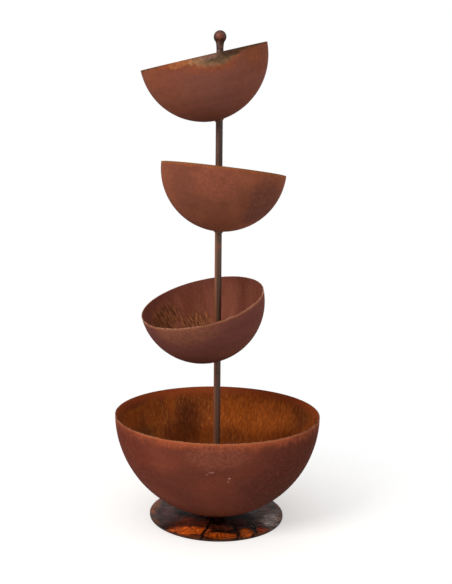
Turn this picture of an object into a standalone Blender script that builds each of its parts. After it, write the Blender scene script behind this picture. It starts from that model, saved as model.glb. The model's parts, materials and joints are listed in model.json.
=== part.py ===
"""Tiered water fountain: three leaning half-sphere bowls on a riser that stands in a half-sphere basin.

Metres, +Z up. The origin is the centre of the foot plate's underside, and the riser is the Z axis.
Each tier is a bowl welded to its own length of riser, and it turns about Z on the length below it.
A small submersible pump stands in the basin and feeds the riser through a short hose.
"""

import math

import bmesh
import bpy
from mathutils import Matrix, Vector

MM = 0.001
GAP = 0.3 * MM                       # air between two pieces that touch

# Foot plate and basin
PLATE_RADIUS = 139 * MM
PLATE_THICK = 4 * MM
BASIN_RADIUS = 210 * MM
BASIN_WALL = 2 * MM
BASIN_CENTRE_Z = 219.6 * MM          # height of the rim, and of the sphere's centre
BASIN_FLAT_RADIUS = 17.5 * MM        # pressed flat under the bolt

# Riser
TUBE_RADIUS = 7 * MM
TUBE_BORE = 5.4 * MM
COUPLER_RADIUS = 5.05 * MM
COUPLER_BORE = 3.9 * MM
COUPLER_HALF = 30 * MM
WASHER_THICK = 1.2 * MM
SOCKET_RADIUS = 11 * MM
SOCKET_TOP_Z = 148 * MM
SOCKET_SEAT_Z = 112 * MM
SOCKET_FLANGE_RADIUS = 16 * MM
WATER_BORE = 5.2 * MM
BOLT_RADIUS = 4.1 * MM
BOLT_HEAD_RADIUS = 7.8 * MM

# Bowls
BOWL_RADIUS = 125 * MM
BOWL_WALL = 1.6 * MM
JOINT_ABOVE_APEX = 55 * MM
# tier: (height of the apex, its place along X off the riser, lean in degrees, azimuth the bowl leans to)
TIERS = {
    "lower": (336 * MM, -3.7 * MM, 18.3, -135.0),
    "middle": (592 * MM, -5.5 * MM, 7.0, 14.0),
    "upper": (810 * MM, -5.0 * MM, 14.4, -149.0),
}

# Ball finial
BALL_RADIUS = 12.5 * MM
BALL_CENTRE_Z = 969.5 * MM
NECK_BASE_Z = 947 * MM
NECK_TOP_RADIUS = 8.6 * MM
JET_BORE = 3 * MM

# Pump, in its own axes: X towards the strainer, Z away from the basin's wall
PUMP_AZIMUTH = math.radians(-35)
PUMP_FROM_RISER = 75 * MM
PUMP_REAR = -24 * MM
PUMP_SPLIT = 10 * MM                 # where the housing ends and the volute cover starts
PUMP_VOLUTE_END = 20 * MM
PUMP_FRONT = 28 * MM
PUMP_HALF_WIDTH = 19 * MM
PUMP_BOTTOM = 8 * MM
PUMP_TOP = 42 * MM
PUMP_WALL = 2 * MM
ROTOR_Z = 25 * MM
OUTLET_X = 15 * MM
OUTLET_END = 54 * MM
BARB_RADIUS = 3.5 * MM
BARB_BORE = 2.3 * MM
HOSE_RADIUS = 5 * MM
HOSE_BORE = 3.95 * MM
HOSE_ON_BARB = 9 * MM
INLET_Z = 99 * MM                    # where the inlet barb's axis meets the riser's axis
INLET_DROP = math.radians(12)
INLET_REACH = 26 * MM

BASIN_CENTRE = Vector((0, 0, BASIN_CENTRE_Z))


def clear_scene():
    for obj in list(bpy.data.objects):
        bpy.data.objects.remove(obj, do_unlink=True)


def material(name, colour, roughness, metallic):
    found = bpy.data.materials.get(name)
    if found:
        return found
    made = bpy.data.materials.new(name)
    made.use_nodes = True
    shader = made.node_tree.nodes["Principled BSDF"]
    shader.inputs["Base Color"].default_value = (*colour, 1)
    shader.inputs["Roughness"].default_value = roughness
    shader.inputs["Metallic"].default_value = metallic
    return made


def rust():
    return material("rusted_steel", (0.25, 0.095, 0.055), 0.75, 0.25)


def dark_rust():
    return material("wet_dark_rust", (0.07, 0.03, 0.02), 0.3, 0.3)


def riser_rust():
    return material("riser_rust", (0.17, 0.10, 0.07), 0.65, 0.3)


def weld_metal():
    return material("weld_metal", (0.30, 0.17, 0.12), 0.7, 0.4)


def rubber():
    return material("black_rubber", (0.03, 0.03, 0.03), 0.8, 0.0)


def plastic():
    return material("black_plastic", (0.03, 0.035, 0.04), 0.45, 0.0)


def resin():
    return material("potting_resin", (0.10, 0.09, 0.08), 0.4, 0.0)


def brass():
    return material("brass", (0.60, 0.43, 0.17), 0.35, 1.0)


def stainless():
    return material("stainless_steel", (0.55, 0.55, 0.55), 0.3, 1.0)


def ferrite():
    return material("ferrite", (0.09, 0.09, 0.10), 0.5, 0.3)


def zirconia():
    return material("ceramic", (0.85, 0.84, 0.80), 0.25, 0.0)


def clear_vinyl():
    return material("hose_vinyl", (0.55, 0.58, 0.55), 0.3, 0.0)


def empty(name, position):
    made = bpy.data.objects.new(name, None)
    made.empty_display_size = 0.02
    made.matrix_basis = Matrix.Translation(position)
    bpy.context.scene.collection.objects.link(made)
    return made


def place(obj, frame=Matrix(), parent=None):
    """Puts obj at frame, given in world space, as a child of an empty that has no parent of its own."""
    if parent:
        obj.parent = parent
        frame = parent.matrix_basis.inverted() @ frame
    obj.matrix_basis = frame
    return obj


def solid(name, mesh, finish):
    """A bmesh made into an object, with its normals out and its round sides shaded smooth."""
    bmesh.ops.recalc_face_normals(mesh, faces=mesh.faces)
    data = bpy.data.meshes.new(name)
    mesh.to_mesh(data)
    mesh.free()
    data.shade_smooth()
    data.set_sharp_from_angle(angle=math.radians(35))
    obj = bpy.data.objects.new(name, data)
    obj.data.materials.append(finish)
    bpy.context.scene.collection.objects.link(obj)
    return obj


def ring_of_faces(mesh, loops, closed):
    """Joins each loop of vertices to the next. A loop of one vertex is a tip."""
    pairs = list(zip(loops, loops[1:]))
    if closed:
        pairs.append((loops[-1], loops[0]))
    for first, second in pairs:
        count = max(len(first), len(second))
        if count == 1:
            continue
        for i in range(count):
            j = (i + 1) % count
            if len(first) == 1:
                mesh.faces.new((first[0], second[i], second[j]))
            elif len(second) == 1:
                mesh.faces.new((first[i], second[0], first[j]))
            else:
                mesh.faces.new((first[i], second[i], second[j], first[j]))


def turned(name, profile, finish, sides=16):
    """A solid of revolution about Z from (radius, height) points.

    A profile that starts and ends on the axis is a filled shape; any other is closed into a ring.
    """
    mesh = bmesh.new()
    loops = []
    for radius, height in profile:
        if radius == 0:
            loops.append([mesh.verts.new((0, 0, height))])
            continue
        angles = [2 * math.pi * i / sides for i in range(sides)]
        loops.append([mesh.verts.new((radius * math.cos(a), radius * math.sin(a), height)) for a in angles])
    ring_of_faces(mesh, loops, closed=profile[0][0] > 0)
    return solid(name, mesh, finish)


def tube(name, outer, bore, bottom, top, finish, sides=16):
    return turned(name, [(outer, bottom), (outer, top), (bore, top), (bore, bottom)], finish, sides)


def arc(radius, start, end, steps, centre=(0, 0)):
    """Points round centre, with angles in degrees counted from the downward direction."""
    angles = [math.radians(start + (end - start) * i / steps) for i in range(steps + 1)]
    return [(centre[0] + radius * math.sin(a), centre[1] - radius * math.cos(a)) for a in angles]


def block(name, low, high, finish, corner=0.0):
    """A box between two corners, with its four long edges along X rounded."""
    mesh = bmesh.new()
    bmesh.ops.create_cube(mesh, size=1)
    size = Vector(high) - Vector(low)
    for vert in mesh.verts:
        vert.co = Vector(low) + Vector((vert.co[i] + 0.5) * size[i] for i in range(3))
    if corner:
        along_x = [e for e in mesh.edges if abs(e.verts[0].co.x - e.verts[1].co.x) > size.x / 2]
        bmesh.ops.bevel(mesh, geom=along_x, offset=corner, segments=3, affect="EDGES", profile=0.5)
    return solid(name, mesh, finish)


def rod(name, start, end, radius, finish, sides=16):
    """A filled cylinder between two points."""
    start = Vector(start)
    direction = Vector(end) - start
    length = direction.length
    made = turned(name, [(0, 0), (radius, 0), (radius, length), (0, length)], finish, sides)
    turn = direction.to_track_quat("Z", "Y").to_matrix().to_4x4()
    made.data.transform(Matrix.Translation(start) @ turn)
    return made


def combine(obj, other, operation):
    """Adds a Boolean with a helper object, which stays out of the finished part."""
    other.hide_render = True
    other.display_type = "WIRE"
    modifier = obj.modifiers.new(other.name, "BOOLEAN")
    modifier.operation = operation
    modifier.solver = "EXACT"
    modifier.object = other


def cut(obj, cutter, frame=Matrix(), parent=None):
    combine(obj, place(cutter, frame, parent), "DIFFERENCE")


def foot_assembly():
    head_top = BOLT_HEAD_RADIUS - BOLT_RADIUS
    hole = BOLT_RADIUS + 0.5 * MM
    turned("foot_plate", [
        (BOLT_HEAD_RADIUS + 0.5 * MM, 0),
        (PLATE_RADIUS, 0),
        (PLATE_RADIUS, PLATE_THICK),
        (hole, PLATE_THICK),
        (hole, head_top),
    ], dark_rust(), sides=48)
    turned("base_bolt", [
        (0, 0.4 * MM),
        (BOLT_HEAD_RADIUS, 0.4 * MM),
        (BOLT_RADIUS, head_top + 0.4 * MM),
        (BOLT_RADIUS, 34 * MM),
        (0, 34 * MM),
    ], stainless())
    flat_z = basin_flat_z()
    bolt_hole = 5.2 * MM
    tube("spacer_ring", 18 * MM, bolt_hole, PLATE_THICK + GAP, flat_z - 1.8 * MM, dark_rust())
    tube("lower_gasket", 16.5 * MM, bolt_hole, flat_z - 1.5 * MM, flat_z - GAP, rubber())
    inside = flat_z + BASIN_WALL
    tube("upper_gasket", 16 * MM, bolt_hole, inside + GAP, inside + 1.8 * MM, rubber())
    tube("clamp_washer", 17 * MM, bolt_hole, inside + 2.1 * MM, inside + 4.1 * MM, stainless())


def basin_flat_z():
    return BASIN_CENTRE_Z - math.sqrt(BASIN_RADIUS**2 - BASIN_FLAT_RADIUS**2)


def basin():
    """A half-sphere shell with a small flat at the bottom, bored for the bolt."""
    flat = basin_flat_z() - BASIN_CENTRE_Z
    hole = 5.3 * MM
    inner = BASIN_RADIUS - BASIN_WALL
    inner_flat = math.sqrt(inner**2 - (flat + BASIN_WALL) ** 2)
    start = math.degrees(math.asin(BASIN_FLAT_RADIUS / BASIN_RADIUS))
    inner_start = math.degrees(math.asin(inner_flat / inner))
    profile = [(hole, flat)]
    profile += arc(BASIN_RADIUS, start, 90, 10)
    profile += arc(inner, 90, inner_start, 10)
    profile += [(hole, flat + BASIN_WALL)]
    place(turned("basin", profile, rust(), sides=48), Matrix.Translation(BASIN_CENTRE))


def socket():
    """The post that the riser stands in: bolt thread below, water bore above, seat for the lowest tube."""
    base = basin_flat_z() + BASIN_WALL + 4.4 * MM
    slide = TUBE_RADIUS + 0.5 * MM
    post = turned("riser_socket", [
        (0, base + 18 * MM),
        (BOLT_RADIUS + GAP, base + 18 * MM),
        (BOLT_RADIUS + GAP, base),
        (SOCKET_FLANGE_RADIUS, base),
        (SOCKET_FLANGE_RADIUS, base + 4 * MM),
        (SOCKET_RADIUS, base + 6 * MM),
        (SOCKET_RADIUS, SOCKET_TOP_Z - 1 * MM),
        (SOCKET_RADIUS - 1 * MM, SOCKET_TOP_Z),
        (slide, SOCKET_TOP_Z),
        (slide, SOCKET_SEAT_Z),
        (WATER_BORE, SOCKET_SEAT_Z),
        (WATER_BORE, base + 24 * MM),
        (0, base + 24 * MM),
    ], riser_rust(), sides=20)
    start, outward = inlet_axis()
    hole = rod("inlet_hole", start + outward * 2 * MM, start + outward * 20 * MM, BARB_RADIUS + GAP, rust())
    cut(post, hole)
    seal("socket_seal", SOCKET_SEAT_Z + GAP)
    barb("inlet_barb", start, outward, 6.5 * MM, INLET_REACH)


def seal(name, bottom):
    """A flat rubber ring as wide as the riser's wall."""
    return tube(name, TUBE_RADIUS - 0.1 * MM, TUBE_BORE, bottom, bottom + WASHER_THICK, rubber())


def barb(name, start, outward, first, last):
    """A hose tail along outward, between two distances from start, with two ridges that grip the hose."""
    ridge = BARB_RADIUS + 0.2 * MM
    profile = [(BARB_BORE, first), (BARB_RADIUS, first)]
    for end in (last - 3 * MM, last):
        profile += [(BARB_RADIUS, end - 1.5 * MM), (ridge, end - 1.4 * MM), (BARB_RADIUS - 0.2 * MM, end)]
    profile += [(BARB_BORE, last)]
    turn = outward.to_track_quat("Z", "Y").to_matrix().to_4x4()
    return place(turned(name, profile, brass(), 16), Matrix.Translation(start) @ turn)


def inlet_axis():
    """Where the inlet barb's axis starts, on the riser's axis, and its direction, out and a little down."""
    outlet, _ = outlet_axis()
    level = Vector((outlet.x, outlet.y, 0)).normalized()
    outward = level * math.cos(INLET_DROP) - Vector((0, 0, math.sin(INLET_DROP)))
    return Vector((0, 0, INLET_Z)), outward


def pump_frame():
    """The pump's axes: it stands square to the basin's curved wall, so it leans towards the riser."""
    inner = BASIN_RADIUS - BASIN_WALL
    out = Vector((math.cos(PUMP_AZIMUTH), math.sin(PUMP_AZIMUTH), 0))
    sine = PUMP_FROM_RISER / inner
    down = out * sine - Vector((0, 0, math.sqrt(1 - sine**2)))
    along = Vector((-out.y, out.x, 0))
    turn = Matrix((along, (-down).cross(along), -down)).transposed().to_4x4()
    return Matrix.Translation(BASIN_CENTRE + down * inner) @ turn


def outlet_axis():
    """The end of the pump's outlet, and the direction it points in."""
    frame = pump_frame()
    return frame @ Vector((OUTLET_X, 0, OUTLET_END)), (frame.to_3x3() @ Vector((0, 0, 1))).normalized()


def hose_points():
    """The hose's centre line: straight along each barb, with one smooth bend between them."""
    outlet, up = outlet_axis()
    start, outward = inlet_axis()
    inlet = start + outward * INLET_REACH
    handle = (inlet - outlet).length * 0.36
    a, b, c, d = outlet, outlet + up * handle, inlet + outward * handle, inlet
    points = [outlet - up * HOSE_ON_BARB, outlet - up * HOSE_ON_BARB / 2]
    steps = 8
    for i in range(steps + 1):
        t = i / steps
        points.append(a * (1 - t) ** 3 + b * 3 * t * (1 - t) ** 2 + c * 3 * t * t * (1 - t) + d * t**3)
    return points + [inlet - outward * HOSE_ON_BARB / 2, inlet - outward * HOSE_ON_BARB]


def swept_ring(name, points, outer, bore, finish, sides=12):
    """A tube along points, open at both ends."""
    mesh = bmesh.new()
    outside, inside = [], []
    tangent = (points[1] - points[0]).normalized()
    side = tangent.cross(Vector((0.3, 0.9, 0.1))).normalized()
    for i, point in enumerate(points):
        ahead = points[min(i + 1, len(points) - 1)]
        behind = points[max(i - 1, 0)]
        tangent = (ahead - behind).normalized()
        side = (side - tangent * side.dot(tangent)).normalized()
        other = tangent.cross(side)
        for radius, rings in ((outer, outside), (bore, inside)):
            turns = [2 * math.pi * k / sides for k in range(sides)]
            rings.append([mesh.verts.new(point + (side * math.cos(a) + other * math.sin(a)) * radius)
                          for a in turns])
    ring_of_faces(mesh, outside + inside[::-1], closed=True)
    return solid(name, mesh, finish)


def hose():
    swept_ring("hose", hose_points(), HOSE_RADIUS, HOSE_BORE, clear_vinyl())
    outlet, up = outlet_axis()
    start, outward = inlet_axis()
    ends = {
        "hose_clip_pump": (outlet - up * 7 * MM, up),
        "hose_clip_riser": (start + outward * (INLET_REACH - 7 * MM), outward),
    }
    for name, (centre, direction) in ends.items():
        inner = HOSE_RADIUS + GAP
        frame = Matrix.Translation(centre) @ direction.to_track_quat("Z", "Y").to_matrix().to_4x4()
        clip = tube(name, inner + 0.9 * MM, inner, 0, 4.5 * MM, stainless())
        for i, angle in enumerate((-12, 12)):
            low = (inner + GAP, -0.4 * MM, 0.5 * MM)
            high = (inner + 4.5 * MM, 0.4 * MM, 4 * MM)
            lug = block(f"{name}_lug_{i}", low, high, stainless())
            lug.data.transform(Matrix.Rotation(math.radians(angle), 4, "Z"))
            combine(clip, place(lug, frame), "UNION")
        place(clip, frame)


def pump():
    frame = pump_frame()
    pump_housing(frame)
    volute(frame)
    strainer(frame)
    rotor(frame)
    pump_feet(frame)
    gland = turned("cable_gland", [
        (0, 4 * MM), (2.2 * MM, 4 * MM), (2.2 * MM, 10 * MM), (3.4 * MM, 10 * MM),
        (4.2 * MM, 3 * MM), (5.5 * MM, 3 * MM), (5.5 * MM, 0), (0, 0),
    ], rubber(), 16)
    rear = Matrix.Translation((PUMP_REAR - GAP, 0, ROTOR_Z)) @ Matrix.Rotation(-math.pi / 2, 4, "Y")
    place(gland, frame @ rear)


def pump_housing(frame):
    """The rear shell, open at the front, and the potted motor block that fills it."""
    low = (PUMP_REAR, -PUMP_HALF_WIDTH, PUMP_BOTTOM)
    high = (PUMP_SPLIT, PUMP_HALF_WIDTH, PUMP_TOP)
    shell = block("pump_housing", low, high, plastic(), corner=6 * MM)
    inset = PUMP_WALL
    hollow = block("housing_hollow", (low[0] + inset, low[1] + inset, low[2] + inset),
                   (high[0] + inset, high[1] - inset, high[2] - inset), plastic(), corner=4.5 * MM)
    cut(place(shell, frame), hollow, frame)
    inset = PUMP_WALL + GAP
    motor = block("motor_block", (low[0] + inset, low[1] + inset, low[2] + inset),
                  (high[0] - GAP, high[1] - inset, high[2] - inset), resin(), corner=4.5 * MM)
    place(motor, frame)
    well = axial_rod("rotor_well", -16 * MM, PUMP_SPLIT + PUMP_WALL, 8.6 * MM, 24)
    cut(motor, well, frame)


def axial_rod(name, start_x, end_x, radius, sides):
    """A cylinder on the rotor's axis, in the pump's own axes."""
    return rod(name, (start_x, 0, ROTOR_Z), (end_x, 0, ROTOR_Z), radius, plastic(), sides)


def volute(frame):
    """The cover over the impeller, with its eye at the front and the outlet barb on top."""
    cover = block("volute_cover", (PUMP_SPLIT + GAP, -PUMP_HALF_WIDTH, PUMP_BOTTOM),
                  (PUMP_VOLUTE_END, PUMP_HALF_WIDTH, PUMP_TOP), plastic(), corner=6 * MM)
    place(cover, frame)
    spout_base = (OUTLET_X, 0, PUMP_TOP - 2 * MM)
    spout = rod("outlet_spout", spout_base, (OUTLET_X, 0, OUTLET_END), BARB_RADIUS, plastic())
    combine(cover, place(spout, frame), "UNION")
    chamber = axial_rod("impeller_chamber", PUMP_SPLIT - 2 * MM, PUMP_VOLUTE_END - 2.2 * MM, 11.5 * MM, 28)
    cut(cover, chamber, frame)
    cut(cover, axial_rod("impeller_eye", PUMP_SPLIT, PUMP_FRONT, 5.5 * MM, 20), frame)
    past_end = (OUTLET_X, 0, OUTLET_END + 2 * MM)
    cut(cover, rod("outlet_bore", (OUTLET_X, 0, ROTOR_Z), past_end, BARB_BORE, plastic(), 12), frame)


def strainer(frame):
    """The slotted front cover, and the dial on it that throttles the intake."""
    low = (PUMP_VOLUTE_END + GAP, -PUMP_HALF_WIDTH, PUMP_BOTTOM)
    high = (PUMP_FRONT, PUMP_HALF_WIDTH, PUMP_TOP)
    cover = place(block("strainer_cover", low, high, plastic(), corner=6 * MM), frame)
    hollow_low = (low[0] - PUMP_WALL, low[1] + PUMP_WALL, low[2] + PUMP_WALL)
    hollow_high = (high[0] - PUMP_WALL, high[1] - PUMP_WALL, high[2] - PUMP_WALL)
    hollow = block("strainer_hollow", hollow_low, hollow_high, plastic(), corner=4.5 * MM)
    cut(cover, hollow, frame)
    cut(cover, axial_rod("dial_hole", PUMP_VOLUTE_END, PUMP_FRONT + PUMP_WALL, 4 * MM, 20), frame)
    for i in range(6):
        side = -1 if i < 3 else 1
        y = side * (7.6 + 3.4 * (i % 3)) * MM
        slot = block(f"strainer_slot_{i}", (PUMP_FRONT - 2 * PUMP_WALL, y - 0.8 * MM, ROTOR_Z - 9 * MM),
                     (PUMP_FRONT + PUMP_WALL, y + 0.8 * MM, ROTOR_Z + 9 * MM), plastic())
        cut(cover, slot, frame)
    centre = frame @ Vector((PUMP_FRONT, 0, ROTOR_Z))
    axis = empty("regulator_axis", centre)
    turn = Matrix.Translation((PUMP_FRONT, 0, ROTOR_Z)) @ Matrix.Rotation(math.pi / 2, 4, "Y")
    dial = turned("flow_dial", [
        (0, -4 * MM), (3.6 * MM, -4 * MM), (3.6 * MM, GAP), (5.6 * MM, GAP),
        (5.6 * MM, 2.2 * MM), (5 * MM, 2.8 * MM), (0, 2.8 * MM),
    ], plastic(), 20)
    grip = block("dial_grip", (-5 * MM, -0.9 * MM, 1.5 * MM), (5 * MM, 0.9 * MM, 5.5 * MM), plastic())
    combine(dial, place(grip, frame @ turn, axis), "UNION")
    place(dial, frame @ turn, axis)


def rotor(frame):
    """The fixed ceramic shaft in its two bushes, and the magnet and impeller that spin on it."""
    sideways = Matrix.Translation((0, 0, ROTOR_Z)) @ Matrix.Rotation(math.pi / 2, 4, "Y")
    shaft = rod("rotor_shaft", (0, 0, -14 * MM), (0, 0, 16.5 * MM), 1.5 * MM, zirconia(), 12)
    place(shaft, frame @ sideways)
    rear = turned("shaft_bush_rear", [
        (0, -15.7 * MM), (3.5 * MM, -15.7 * MM), (3.5 * MM, -11.5 * MM), (1.8 * MM, -11.5 * MM),
        (1.8 * MM, -14.3 * MM), (0, -14.3 * MM),
    ], rubber(), 16)
    place(rear, frame @ sideways)
    front = tube("shaft_bush_front", 3.2 * MM, 1.8 * MM, 14.4 * MM, 16.6 * MM, rubber(), 16)
    place(front, frame @ sideways)
    axis = empty("rotor_axis", frame @ Vector((0, 0, ROTOR_Z)))
    magnet = tube("rotor_magnet", 7.8 * MM, 1.8 * MM, -11 * MM, 9.2 * MM, ferrite(), 20)
    place(magnet, frame @ sideways, axis)
    place(impeller(), frame @ sideways, axis)


def around(turns):
    """The unit vector at this many turns round Z."""
    return Vector((math.cos(2 * math.pi * turns), math.sin(2 * math.pi * turns), 0))


def impeller(blades=6):
    """A hub with straight blades, extruded from one star-shaped outline."""
    hub, tip, half, bore_radius = 3.4 * MM, 9.6 * MM, 0.6 * MM, 1.8 * MM
    outer = []
    for i in range(blades):
        ray = around(i / blades)
        side = around(i / blades + 0.25) * half
        outer += [ray * hub - side, ray * tip - side, ray * tip + side, ray * hub + side]
    bore = [around((i - 1.5) / len(outer)) * bore_radius for i in range(len(outer))]
    mesh = bmesh.new()
    low, high = Vector((0, 0, 10.1 * MM)), Vector((0, 0, 14.1 * MM))
    loops = []
    for points, level in ((outer, low), (outer, high), (bore, high), (bore, low)):
        loops.append([mesh.verts.new(p + level) for p in points])
    ring_of_faces(mesh, loops, closed=True)
    return solid("impeller", mesh, plastic())


def pump_feet(frame):
    """Four suction cups, each square to the basin's wall where it stands."""
    inner = BASIN_RADIUS - BASIN_WALL
    for i, (x, y) in enumerate(((-16, -12), (16, -12), (16, 12), (-16, 12))):
        spot = frame @ Vector((x * MM, y * MM, 0))
        down = (spot - BASIN_CENTRE).normalized()
        turn = (-down).to_track_quat("Z", "Y").to_matrix().to_4x4()
        foot = turned(f"pump_foot_{i + 1}", [
            (0, 2.2 * MM), (4.5 * MM, 1.6 * MM), (6 * MM, 1.6 * MM), (6 * MM, 2.4 * MM),
            (3 * MM, 3.6 * MM), (2.4 * MM, 6.2 * MM), (0, 6.2 * MM),
        ], rubber(), 16)
        place(foot, Matrix.Translation(BASIN_CENTRE + down * inner) @ turn)


def bowl_frame(tier):
    """The bowl's axes: origin at the sphere's centre, with the rim's plane at Z = 0."""
    apex_z, apex_x, lean, azimuth = TIERS[tier]
    up = Vector((
        math.sin(math.radians(lean)) * math.cos(math.radians(azimuth)),
        math.sin(math.radians(lean)) * math.sin(math.radians(azimuth)),
        math.cos(math.radians(lean)),
    ))
    turn = Vector((0, 0, 1)).rotation_difference(up).to_matrix().to_4x4()
    return Matrix.Translation(Vector((apex_x, 0, apex_z)) + up * BOWL_RADIUS) @ turn


def bowl(tier, axis):
    """A half-sphere shell, bored where the riser goes through it, near its apex."""
    inner = BOWL_RADIUS - BOWL_WALL
    shell = turned(f"{tier}_bowl", arc(BOWL_RADIUS, 0, 90, 8) + arc(inner, 90, 0, 8), rust(), sides=36)
    place(shell, bowl_frame(tier), axis)
    apex_z = TIERS[tier][0]
    low, high = (0, 0, apex_z - 20 * MM), (0, 0, apex_z + 20 * MM)
    hole = rod(f"{tier}_bowl_hole", low, high, TUBE_RADIUS + GAP, rust(), 24)
    cut(shell, hole, Matrix(), axis)


def weld(name, tier, radius, legs, offset, axis):
    """A fillet round the riser that follows the leaning bowl's outer or inner face, as radius says."""
    centre = bowl_frame(tier).translation
    wide, tall = legs
    mesh = bmesh.new()
    sides = 20
    loops = [[], [], []]
    near, far = TUBE_RADIUS + GAP, TUBE_RADIUS + GAP + wide
    for i in range(sides):
        angle = 2 * math.pi * i / sides
        heights = []
        for reach in (near, far):
            spot = Vector((reach * math.cos(angle) - centre.x, reach * math.sin(angle) - centre.y))
            heights.append(centre.z - math.sqrt(radius**2 - spot.length_squared) + offset)
        corners = ((near, heights[0]), (far, heights[1]), (near, heights[0] + tall))
        for loop, (reach, height) in zip(loops, corners):
            loop.append(mesh.verts.new((reach * math.cos(angle), reach * math.sin(angle), height)))
    ring_of_faces(mesh, loops, closed=True)
    place(solid(name, mesh, weld_metal()), Matrix(), axis)


def tier_assembly(tier, bottom, top):
    """A bowl welded to its length of riser, which turns about Z on the joint at its bottom."""
    axis = empty(f"{tier}_tier_axis", (0, 0, bottom))
    place(tube(f"{tier}_riser", TUBE_RADIUS, TUBE_BORE, bottom, top, riser_rust()), Matrix(), axis)
    bowl(tier, axis)
    weld(f"{tier}_weld_below", tier, BOWL_RADIUS, (3 * MM, -3.5 * MM), -0.35 * MM, axis)
    weld(f"{tier}_weld_inside", tier, BOWL_RADIUS - BOWL_WALL, (3 * MM, 3 * MM), 0.9 * MM, axis)
    return axis


def riser_joint(tier, height, axis):
    """The coupler tube that is fixed in the tier's riser and stands in the one below, and their washer."""
    place(seal(f"{tier}_washer", height + GAP), Matrix(), axis)
    low, high = height - COUPLER_HALF, height + COUPLER_HALF
    place(tube(f"{tier}_coupler", COUPLER_RADIUS, COUPLER_BORE, low, high, stainless()), Matrix(), axis)


def finial(axis):
    """A ball on a flared neck, bored right through, whose spigot stands in the top of the riser."""
    place(seal("finial_washer", NECK_BASE_Z - GAP - WASHER_THICK), Matrix(), axis)
    neck_meets = math.degrees(math.asin(NECK_TOP_RADIUS / BALL_RADIUS))
    top_opens = 180 - math.degrees(math.asin(JET_BORE / BALL_RADIUS))
    profile = [
        (JET_BORE, NECK_BASE_Z - 25 * MM),
        (COUPLER_RADIUS, NECK_BASE_Z - 25 * MM),
        (COUPLER_RADIUS, NECK_BASE_Z),
        (TUBE_RADIUS, NECK_BASE_Z),
        (TUBE_RADIUS, NECK_BASE_Z + 3 * MM),
        (TUBE_RADIUS + 0.6 * MM, NECK_BASE_Z + 7 * MM),
    ]
    profile += arc(BALL_RADIUS, neck_meets, top_opens, 7, centre=(0, BALL_CENTRE_Z))
    ball = turned("ball_finial", profile, riser_rust(), sides=20)
    place(ball, Matrix(), axis)


def tiers():
    joint_gap = 2 * GAP + WASHER_THICK
    joints = {tier: TIERS[tier][0] + JOINT_ABOVE_APEX for tier in ("lower", "middle")}
    tier_assembly("lower", SOCKET_SEAT_Z + joint_gap, joints["lower"])
    axis = tier_assembly("middle", joints["lower"] + joint_gap, joints["middle"])
    riser_joint("middle", joints["lower"], axis)
    axis = tier_assembly("upper", joints["middle"] + joint_gap, NECK_BASE_Z - joint_gap)
    riser_joint("upper", joints["middle"], axis)
    finial(axis)


def main():
    clear_scene()
    foot_assembly()
    basin()
    socket()
    hose()
    pump()
    tiers()


main()
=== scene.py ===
"""The looks of a rusted steel water fountain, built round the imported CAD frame."""

import json
import math

import bmesh
import bpy
import numpy as np
from mathutils import Matrix, Vector, noise


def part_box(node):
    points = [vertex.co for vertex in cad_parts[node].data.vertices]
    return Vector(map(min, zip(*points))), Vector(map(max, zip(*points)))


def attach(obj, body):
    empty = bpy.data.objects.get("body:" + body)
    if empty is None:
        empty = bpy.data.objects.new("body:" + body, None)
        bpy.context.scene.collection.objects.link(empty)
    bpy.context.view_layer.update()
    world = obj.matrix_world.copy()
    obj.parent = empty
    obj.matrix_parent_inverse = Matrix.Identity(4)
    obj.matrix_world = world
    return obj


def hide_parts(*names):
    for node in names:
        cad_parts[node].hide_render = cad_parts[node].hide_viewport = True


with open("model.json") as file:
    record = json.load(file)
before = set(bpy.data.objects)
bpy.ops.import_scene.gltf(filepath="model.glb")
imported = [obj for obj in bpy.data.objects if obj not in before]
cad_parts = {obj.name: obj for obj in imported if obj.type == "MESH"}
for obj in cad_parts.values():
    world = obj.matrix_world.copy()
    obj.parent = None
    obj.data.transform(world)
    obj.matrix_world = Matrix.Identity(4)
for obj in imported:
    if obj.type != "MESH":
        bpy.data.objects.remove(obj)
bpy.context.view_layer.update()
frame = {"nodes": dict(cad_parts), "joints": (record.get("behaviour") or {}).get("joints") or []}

MM = 0.001
SMOOTH_BELOW = math.radians(35)      # edges sharper than this stay crisp


def metres(numbers):
    """Millimetres as metres."""
    return tuple(number * MM for number in numbers)


def linked(name, data):
    """A new object of the scene."""
    obj = bpy.data.objects.new(name, data)
    bpy.context.scene.collection.objects.link(obj)
    return obj


# ---- mesh helpers

def mesh_of(name, verts, faces):
    mesh = bpy.data.meshes.new(name)
    mesh.from_pydata([tuple(v) for v in verts], [], faces)
    mesh.validate()
    return mesh


def finish_mesh(mesh, place):
    """Keeps each vertex's own-axes position for the materials, then moves the mesh to its place."""
    count = len(mesh.vertices)
    points = np.empty(count * 3, np.float32)
    mesh.vertices.foreach_get("co", points)
    stored = mesh.attributes.new("local", "FLOAT_VECTOR", "POINT")
    stored.data.foreach_set("vector", points)
    mesh.transform(place)
    mesh.shade_smooth()
    mesh.set_sharp_from_angle(angle=SMOOTH_BELOW)


def add_piece(mesh, finishes, body, node, place=Matrix()):
    """Shows the mesh in place of a CAD node, riding on the body."""
    finish_mesh(mesh, place)
    obj = linked(mesh.name, mesh)
    for finish in finishes:
        mesh.materials.append(finish)
    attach(obj, body)
    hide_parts(node)


def add_part(node, shape, part, finish, body, place=Matrix()):
    """Shows (verts, faces), turned right side out, in place of a CAD node."""
    add_piece(oriented(mesh_of(f"{node}_{shape}", *part)), [finish], body, node, place)


def moved(part, place):
    return [place @ Vector(v) for v in part[0]], part[1]


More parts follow.
